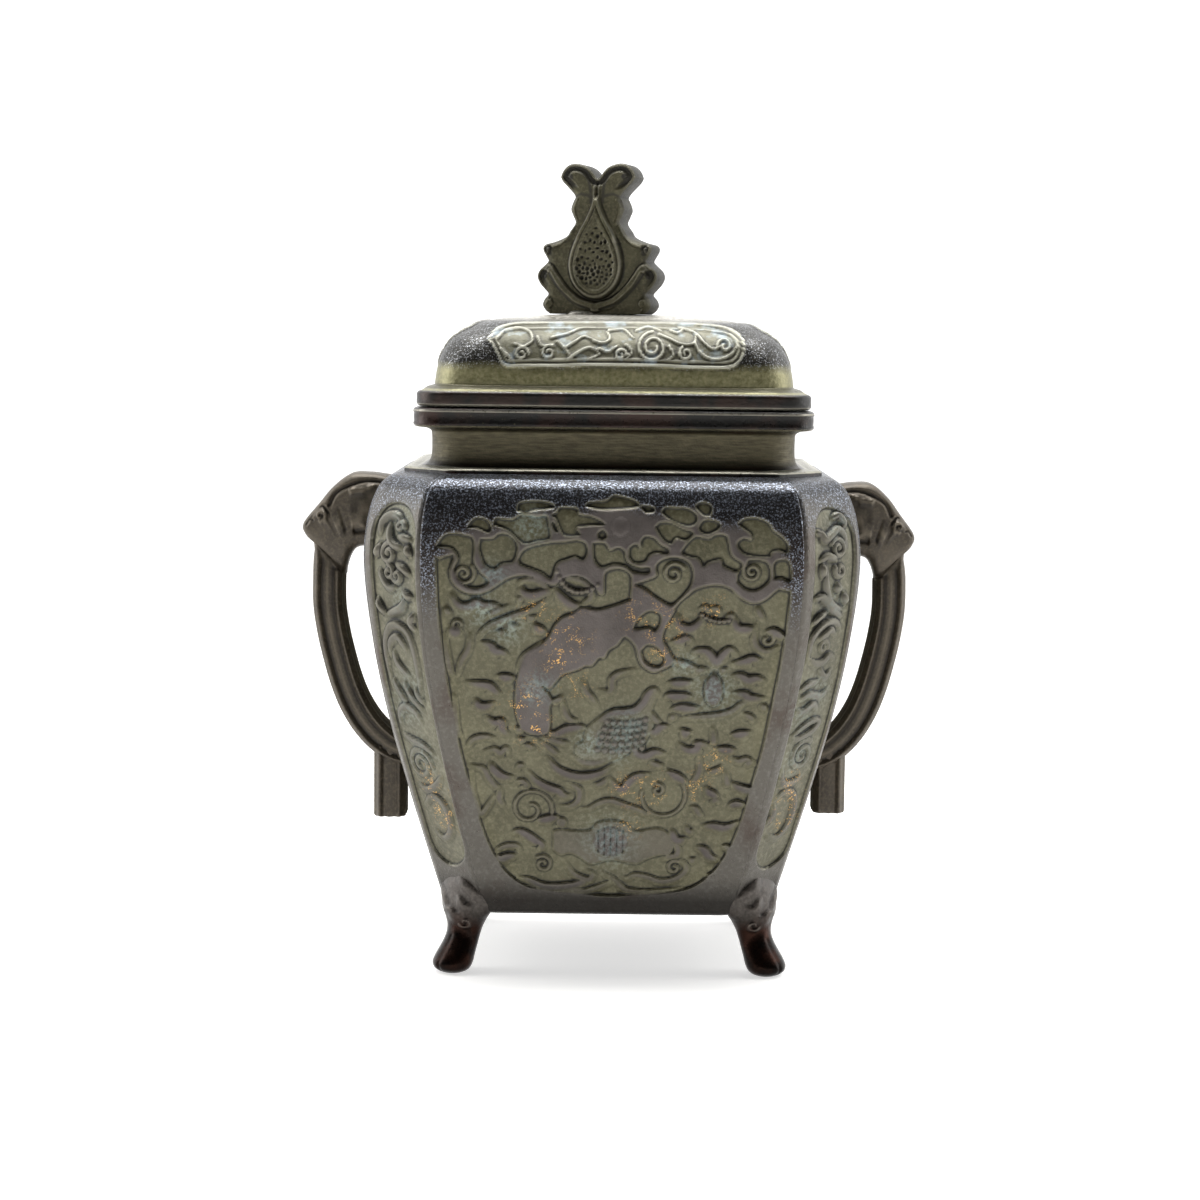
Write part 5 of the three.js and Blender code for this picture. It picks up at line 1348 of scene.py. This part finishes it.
def finial_mesh():
    """Front and back sheets of relief joined by a rounded edge, then turned and set on the lid."""
    columns, rows = 144, 178
    x, z = finial_grid(columns, rows)
    outline = np.vstack([
        np.stack([x[:, -1], z[:, -1]], 1), np.stack([x[-1, ::-1], z[-1, ::-1]], 1)[1:],
        np.stack([x[::-1, 0], z[::-1, 0]], 1)[1:],
    ])
    d, _, _ = distance(x, z, outline, 2.5)
    edge = np.clip(d / 2.0, 0, 1)
    body = finial_thickness / 2 - 1.3 * (1 - np.sqrt(1 - (1 - edge) ** 2)) - 0.6
    relief, dirt = finial_relief(x, z)
    side = np.abs(x)
    curled = np.maximum(smooth_step((z - 33) / 2), spots(side, z, [(14.4, 10.4, 2.6), (13.8, 17.4, 1.8)]))
    hollow = curled * smooth_step((d - 0.5) / 0.5) * smooth_step((2.5 - d) / 0.9)
    depth = body + relief * np.clip(d / 1.2, 0, 1) - 0.9 * hollow
    # Painted shade: the crescent under the volute rims and a band along the plate's edge, with the dirt of the
    # pits and creases.
    shade = np.maximum(np.maximum(dirt, hollow), 0.45 * smooth_step(1.2 - d))
    scale_x, scale_z = finial_half / 16.2, finial_tall / 40.2
    front = np.stack([x * scale_x, -depth, z * scale_z - finial_gap], -1)
    back = np.stack([-x * scale_x, depth, z * scale_z - finial_gap], -1)
    index = np.arange(rows * columns).reshape(rows, columns)
    quads = np.stack([index[:-1, :-1], index[:-1, 1:], index[1:, 1:], index[1:, :-1]], -1).reshape(-1, 4)
    second = quads + rows * columns
    rim = np.concatenate([index[0, :], index[1:, -1], index[-1, -2::-1], index[-2:0:-1, 0]])
    across = index[:, ::-1] + rows * columns
    other = np.concatenate([across[0, :], across[1:, -1], across[-1, -2::-1], across[-2:0:-1, 0]])
    joined = np.stack([rim, other, np.roll(other, -1), np.roll(rim, -1)], 1)
    points = np.vstack([front.reshape(-1, 3), back.reshape(-1, 3)])
    c, s = math.cos(finial_turn), math.sin(finial_turn)
    x, y, z = points.T
    turned = np.stack([x * c + y * s, -x * s + y * c, z], 1) + [finial_offset, 0, finial_base]
    wear = np.clip((depth - blur(depth, 5)) / 0.22, -1, 1)
    faces = [*quads.tolist(), *second.tolist(), *joined.tolist()]
    return turned, faces, np.stack([shade, shade]), np.stack([wear, wear])


def finial_bronze():
    """Olive-black patina; dirt and painted shade in the hollows, pits and creases and along the plate's
    edge; pale on the rims from rubbing and a painted highlight.
    """
    material, surface = new_material("olive_black_rubbed_finial_bronze")
    wear, dirt = attribute(material, "wear"), attribute(material, "dirt")
    cloud, grain = noise(material, 6), noise(material, 0.8, 4)
    colour = blend(material, ramp(material, cloud, 0.35, 0.65), "#3a3725", "#4e4b37")
    colour = blend(material, ramp(material, grain, 0.45, 0.75), colour, "#625e49")
    # Pale proud edges are rubbing with a painted highlight; the dark marks below are painted shade in creases,
    # and dirt with painted shade in the pits, hollows and along the edge.
    colour = blend(material, ramp(material, wear, 0.25, 1.0, 0, 0.55), colour, "#949080")
    colour = blend(material, ramp(material, wear, -0.1, -0.8, 0, 0.8), colour, "#12110b")
    colour = blend(material, calculate(material, "MULTIPLY", dirt, 0.85), colour, "#12100b")
    rough = calculate(material, "ADD", ramp(material, grain, 0.3, 0.7, 0.38, 0.56),
                      calculate(material, "MULTIPLY", dirt, 0.25))
    return dress(material, surface, colour, ramp(material, dirt, 0, 1, 0.5, 0.1), rough, (grain, 0.4, 0.25))


finial_points, finial_faces, finial_dirt, finial_wear_and_painted_light = finial_mesh()
finial = add_piece("finial_plate", finial_points, finial_faces, dirt=finial_dirt, wear=finial_wear_and_painted_light)
finish_piece(finial, finial_bronze(), "brown_bronze", "finial")

boss_rows = [
    (9.6, 5.4, 4, dome_top - 1.5), (9.5, 5.3, 4, dome_top + 0.1), (9.2, 5.1, 4, finial_base - 0.4),
    (8.8, 4.8, 4, finial_base - 0.1), (3, 2, 1, finial_base - 0.05),
]
boss_rings = [ring(*row) for row in boss_rows]
finial_boss = add_piece("finial_boss", *loft(np.array(boss_rings) + [finial_offset, 0, 0]))
finish_piece(finial_boss, lid_metal, "patinated_bronze", "lid")

# Handles
# Two castings of browner metal, brazed to the ends: a beast's head biting the shoulder, its neck drawn out
# into a ribbed strap that bends back to the body, and a short fluted tab below the bend.

handle_top = 113.9
head_height = 27.5
strap_width = 12.0
strap_thickness = 8.4
strap_foot = 37.0
tab_out = 6.0
tab_thickness = 8.3
snout_out = {"left": 19.7, "right": 17.7}
tab_foot = {"left": 20.0, "right": 22.4}
head_lift = {"left": 1.2, "right": 0.0}


def handle_sections(snout):
    """Rows of inner point, outer point and half width, from the root of the head to the brazed foot."""
    def head_point(out, drop):
        return np.array([max_half_width + out * snout, handle_top - drop * head_height])
    head = [((-0.454, 0.76), (-0.344, 0.065), 6.4), ((-0.15, 0.752), (-0.1, 0.04), 6.7),
            ((0.093, 0.749), (0.093, 0.025), 6.9), ((0.23, 0.76), (0.339, 0.036), 7.0),
            ((0.311, 0.796), (0.585, 0.164), 6.9), ((0.366, 0.855), (0.781, 0.331), 6.6),
            ((0.393, 0.905), (1.0, 0.53), 6.0), ((0.41, 0.949), (0.975, 0.64), 5.4), ((0.421, 1.0),
                                                                                      (0.86, 0.72), 5.6)]
    line = [(0.66, 0.356), (0.675, 0.46), (0.644, 0.555), (0.595, 0.643), (0.538, 0.731), (0.466, 0.812),
            (0.369, 0.884), (0.25, 0.94), (0.11, 0.976), (-0.21, 1.0)]
    rows = [(head_point(*a), head_point(*b), w) for a, b, w in head]
    h = handle_top - np.array([drop for _, drop in line]) * (handle_top - strap_foot)
    side = half_width(h)
    x = side + np.array([out for out, _ in line]) * (max_half_width + snout - side)
    middle = np.stack([x, h], 1)
    along = np.gradient(middle, axis=0)
    along /= np.hypot(along[:, 0], along[:, 1])[:, None]
    across = np.stack([-along[:, 1], along[:, 0]], 1) * strap_thickness / 2
    for m, n in zip(middle, across):
        rows.append((m - n, m + n, strap_width / 2))
    inner = line_through([r[0] for r in rows], 16)
    outer = line_through([r[1] for r in rows], 16)
    half = line_through([(r[2], 0) for r in rows], 16)[:, 0]
    return inner, outer, half


def handle_mesh(side_name):
    """Each section is a soft rectangle ribbed on its faces; the head's features are laid on as relief."""
    snout = snout_out[side_name]
    inner, outer, half = handle_sections(snout)
    count, around = len(inner), 88
    angle = np.linspace(0, 2 * math.pi, around, endpoint=False)
    power = 0.42
    s = np.sign(np.cos(angle)) * np.abs(np.cos(angle)) ** power
    w = np.sign(np.sin(angle)) * np.abs(np.sin(angle)) ** power
    t = (s + 1) / 2
    plane = inner[:, None] + (outer - inner)[:, None] * t[None, :, None]
    x, h = plane[..., 0], plane[..., 1]
    out_share = (x - max_half_width) / snout
    drop_share = (handle_top - h) / head_height
    on_side = smooth_step((np.abs(w)[None] - 0.75) / 0.2) * np.ones_like(x)
    row = np.arange(count)[:, None] * np.ones_like(x)
    strap_from = 8 * 16
    on_strap = smooth_step((row - strap_from) / 10)
    relief = np.zeros(x.shape)

    def raised(points, width, height):
        raise_line(relief, u_mm, h_mm, line_through(np.array(points) * unit, 5), width, height, edge=0.6)

    def grooved(points, width, depth):
        cut_line(relief, u_mm, h_mm, line_through(np.array(points) * unit, 5), width, depth)

    unit = np.array([snout, head_height])
    u_mm, h_mm = out_share * snout, drop_share * head_height
    raised([(0.33, 0.2), (0.18, 0.19), (0.02, 0.15)], 1.1, 0.8)
    raised([(0.62, 0.54), (0.4, 0.51), (0.15, 0.53)], 1.7, 0.7)
    raise_boss(relief, u_mm, h_mm, np.array([0.15, 0.41]) * unit, (2.4, 3.2), 0.5, edge=0.9)
    raise_line(relief, u_mm, h_mm, spiral(0.75 * snout, 0.45 * head_height, 1.6, 90, 1.1), 0.9, 0.8)
    grooved([(0.63, 0.35), (0.54, 0.23), (0.36, 0.15), (0.14, 0.105), (-0.08, 0.115),
             (-0.16, 0.18)], 1.5, 1.0)
    grooved([(0.88, 0.46), (0.82, 0.38), (0.71, 0.36), (0.64, 0.43)], 1.0, 0.8)
    grooved([(0.95, 0.54), (0.9, 0.49), (0.86, 0.5)], 0.9, 0.7)
    grooved([(-0.12, 0.16), (-0.16, 0.34), (-0.12, 0.54)], 1.6, 0.7)
    grooved([(0.97, 0.52), (0.9, 0.42)], 2.2, 0.5)
    grooved([(0.49, 0.56), (0.45, 0.58), (0.42, 0.57)], 1.5, 1.0)
    grooved([(0.27, 0.6), (0.18, 0.595), (0.1, 0.6)], 1.4, 1.0)
    relief *= on_side * (1 - on_strap)
    ribs = 0.55 * np.cos(s[None] * 3 * math.pi) * on_side * on_strap
    edge_ribs = 0.4 * np.cos(w[None] * 2 * math.pi) * smooth_step((np.abs(s)[None] - 0.75) / 0.2) * on_strap
    relief = relief + ribs + edge_ribs
    normal_w = np.sign(w)[None] * on_side
    y = w[None] * half[:, None] + relief * normal_w
    span = (outer - inner)
    span /= np.hypot(span[:, 0], span[:, 1])[:, None]
    push = (edge_ribs * np.sign(s)[None])[..., None] * span[:, None]
    xz = plane + push
    sign = 1 if side_name == "right" else -1
    z = foot_height + xz[..., 1] + head_lift[side_name] * smooth_step((xz[..., 1] - 84) / 10)
    points = np.stack([sign * xz[..., 0], sign * y, z], -1)
    wear = np.clip((relief - blur(relief, 4)) / 0.25, -1, 1)
    return points, wear


def tab_mesh(side_name):
    """Fluted tab: a soft rectangle with three flutes on each broad side, drawn in at its lower end."""
    middle = float(half_width(strap_foot)) + tab_out
    foot = tab_foot[side_name]
    angle = np.linspace(0, 2 * math.pi, 96, endpoint=False)
    s = np.sign(np.cos(angle)) * np.abs(np.cos(angle)) ** 0.4
    w = np.sign(np.sin(angle)) * np.abs(np.sin(angle)) ** 0.4
    flute = 0.45 * np.cos(s * 3 * math.pi) * (np.abs(w) > 0.9) * np.sign(w)
    flute_out = 0.4 * np.cos(w * 3 * math.pi) * (np.abs(s) > 0.9) * np.sign(s)
    h = np.concatenate([foot + np.array([0, 0.12, 0.35, 0.8]), np.linspace(foot + 1.6, strap_foot + 3, 24)])
    shrink = np.array([0.75, 0.9, 0.97, 1.0, *[1.0] * 24])[:, None]
    x = middle + (s[None] * tab_thickness / 2 + flute_out) * shrink
    y = (w[None] * (strap_width / 2 - 0.4) + flute) * shrink
    sign = 1 if side_name == "right" else -1
    return np.stack([sign * x, sign * y, foot_height + np.repeat(h[:, None], len(angle), 1)], -1)


def handle_bronze():
    """Warm grey-brown bronze of another melt, matt from handling wax and dust, with painted shade between the
    ribs and a pale painted highlight with rubbing on their crests.
    """
    material, surface = new_material("warm_brown_handle_bronze")
    wear = attribute(material, "wear")
    cloud, grain = noise(material, 8), noise(material, 0.8, 4)
    colour = blend(material, ramp(material, cloud, 0.35, 0.65), "#3d372f", "#4d463c")
    colour = blend(material, ramp(material, grain, 0.45, 0.75), colour, "#5c5447")
    # Painted shade between the ribs and in the head's grooves; a pale painted highlight with rubbing on the
    # crests.
    colour = blend(material, ramp(material, wear, -0.1, -0.9, 0, 0.75), colour, "#17130f")
    colour = blend(material, ramp(material, wear, 0.2, 0.9, 0, 0.35), colour, "#7d7464")
    rough = ramp(material, grain, 0.3, 0.7, 0.42, 0.56)
    return dress(material, surface, colour, 0.5, rough, (grain, 0.35, 0.25))


brown_bronze = handle_bronze()
for side_name in ("right", "left"):
    rings, wear = handle_mesh(side_name)
    handle = add_piece(f"handle_{side_name}_casting", *loft(rings), wear=wear)
    finish_piece(handle, brown_bronze, "brown_bronze", f"handle_{side_name}")
    tab = add_piece(f"handle_{side_name}_tab", *loft(tab_mesh(side_name)))
    finish_piece(tab, brown_bronze, "brown_bronze", f"handle_{side_name}")

# Stage: pale floor, soft studio light and the camera of the photograph


def plane(name, size, z):
    mesh = bpy.data.meshes.new(name)
    corners = [(-size, -size, z), (size, -size, z), (size, size, z), (-size, size, z)]
    mesh.from_pydata(corners, [], [(0, 1, 2, 3)])
    piece = bpy.data.objects.new(name, mesh)
    bpy.context.scene.collection.objects.link(piece)
    return piece


floor = plane("floor", 6.0, 0.0)
floor_paint, floor_surface = new_material("pale_matt_floor")
floor_surface.inputs["Base Color"].default_value = linear("#d2d1ce")
floor_surface.inputs["Roughness"].default_value = 0.8
floor_surface.inputs["Emission Color"].default_value = (1.0, 1.0, 1.0, 1.0)
floor_surface.inputs["Emission Strength"].default_value = 0.6
floor.data.materials.append(floor_paint)


def soft_light(name, place, target, size, watts):
    """Square area light aimed at a point; places in metres."""
    data = bpy.data.lights.new(name, "AREA")
    data.shape = "RECTANGLE"
    data.size, data.size_y = size
    data.energy = watts
    lamp = bpy.data.objects.new(name, data)
    bpy.context.scene.collection.objects.link(lamp)
    aim = np.array(target) - np.array(place)
    yaw = math.atan2(aim[1], aim[0])
    pitch = math.atan2(math.hypot(aim[0], aim[1]), -aim[2])
    lamp.location = place
    lamp.rotation_euler = Euler((pitch, 0, yaw - math.pi / 2))
    return lamp


soft_light("overhead_softbox", (0.0, 0.1, 0.9), (0, 0, 0.1), (0.9, 0.45), 14)
soft_light("left_strip", (-0.9, 0.1, 0.35), (0, 0, 0.1), (0.4, 0.9), 4.4)
soft_light("right_strip", (0.9, 0.1, 0.35), (0, 0, 0.1), (0.4, 0.9), 3.6)

bpy.context.scene.view_settings.view_transform = "Standard"
world = bpy.data.worlds.new("studio")
bpy.context.scene.world = world
world.use_nodes = True
backdrop = world.node_tree.nodes["Background"]
backdrop.inputs["Strength"].default_value = 1.5
# White wall behind the table; the half of the room in front of it is dim above the table's height.
direction = add_node(world, "SeparateXYZ", {"Vector": add_node(world, "TexCoord").outputs["Generated"]})
behind = ramp(world, direction.outputs["Y"], -0.15, 0.1)
below = ramp(world, direction.outputs["Z"], 0.12, -0.02)
white = calculate(world, "MAXIMUM", behind, below)
world.node_tree.links.new(blend(world, white, "#3c3c3c", "#ffffff"), backdrop.inputs["Color"])

camera_data = bpy.data.cameras.new("camera")
camera = bpy.data.objects.new("camera", camera_data)
bpy.context.scene.collection.objects.link(camera)
frame_pixels = 1200
focal_pixels = 2650
axis_right_of_middle = 14.8
camera_data.sensor_width = 36
camera_data.lens = focal_pixels / frame_pixels * camera_data.sensor_width
camera_data.shift_x = -axis_right_of_middle / frame_pixels
camera.location = (0, -0.722, 0.1688)
look_down = math.radians(5.75)
picture_turn = math.radians(-0.7)
camera.rotation_euler = Euler((math.pi / 2 - look_down, picture_turn, 0), "XYZ")
bpy.context.scene.camera = camera
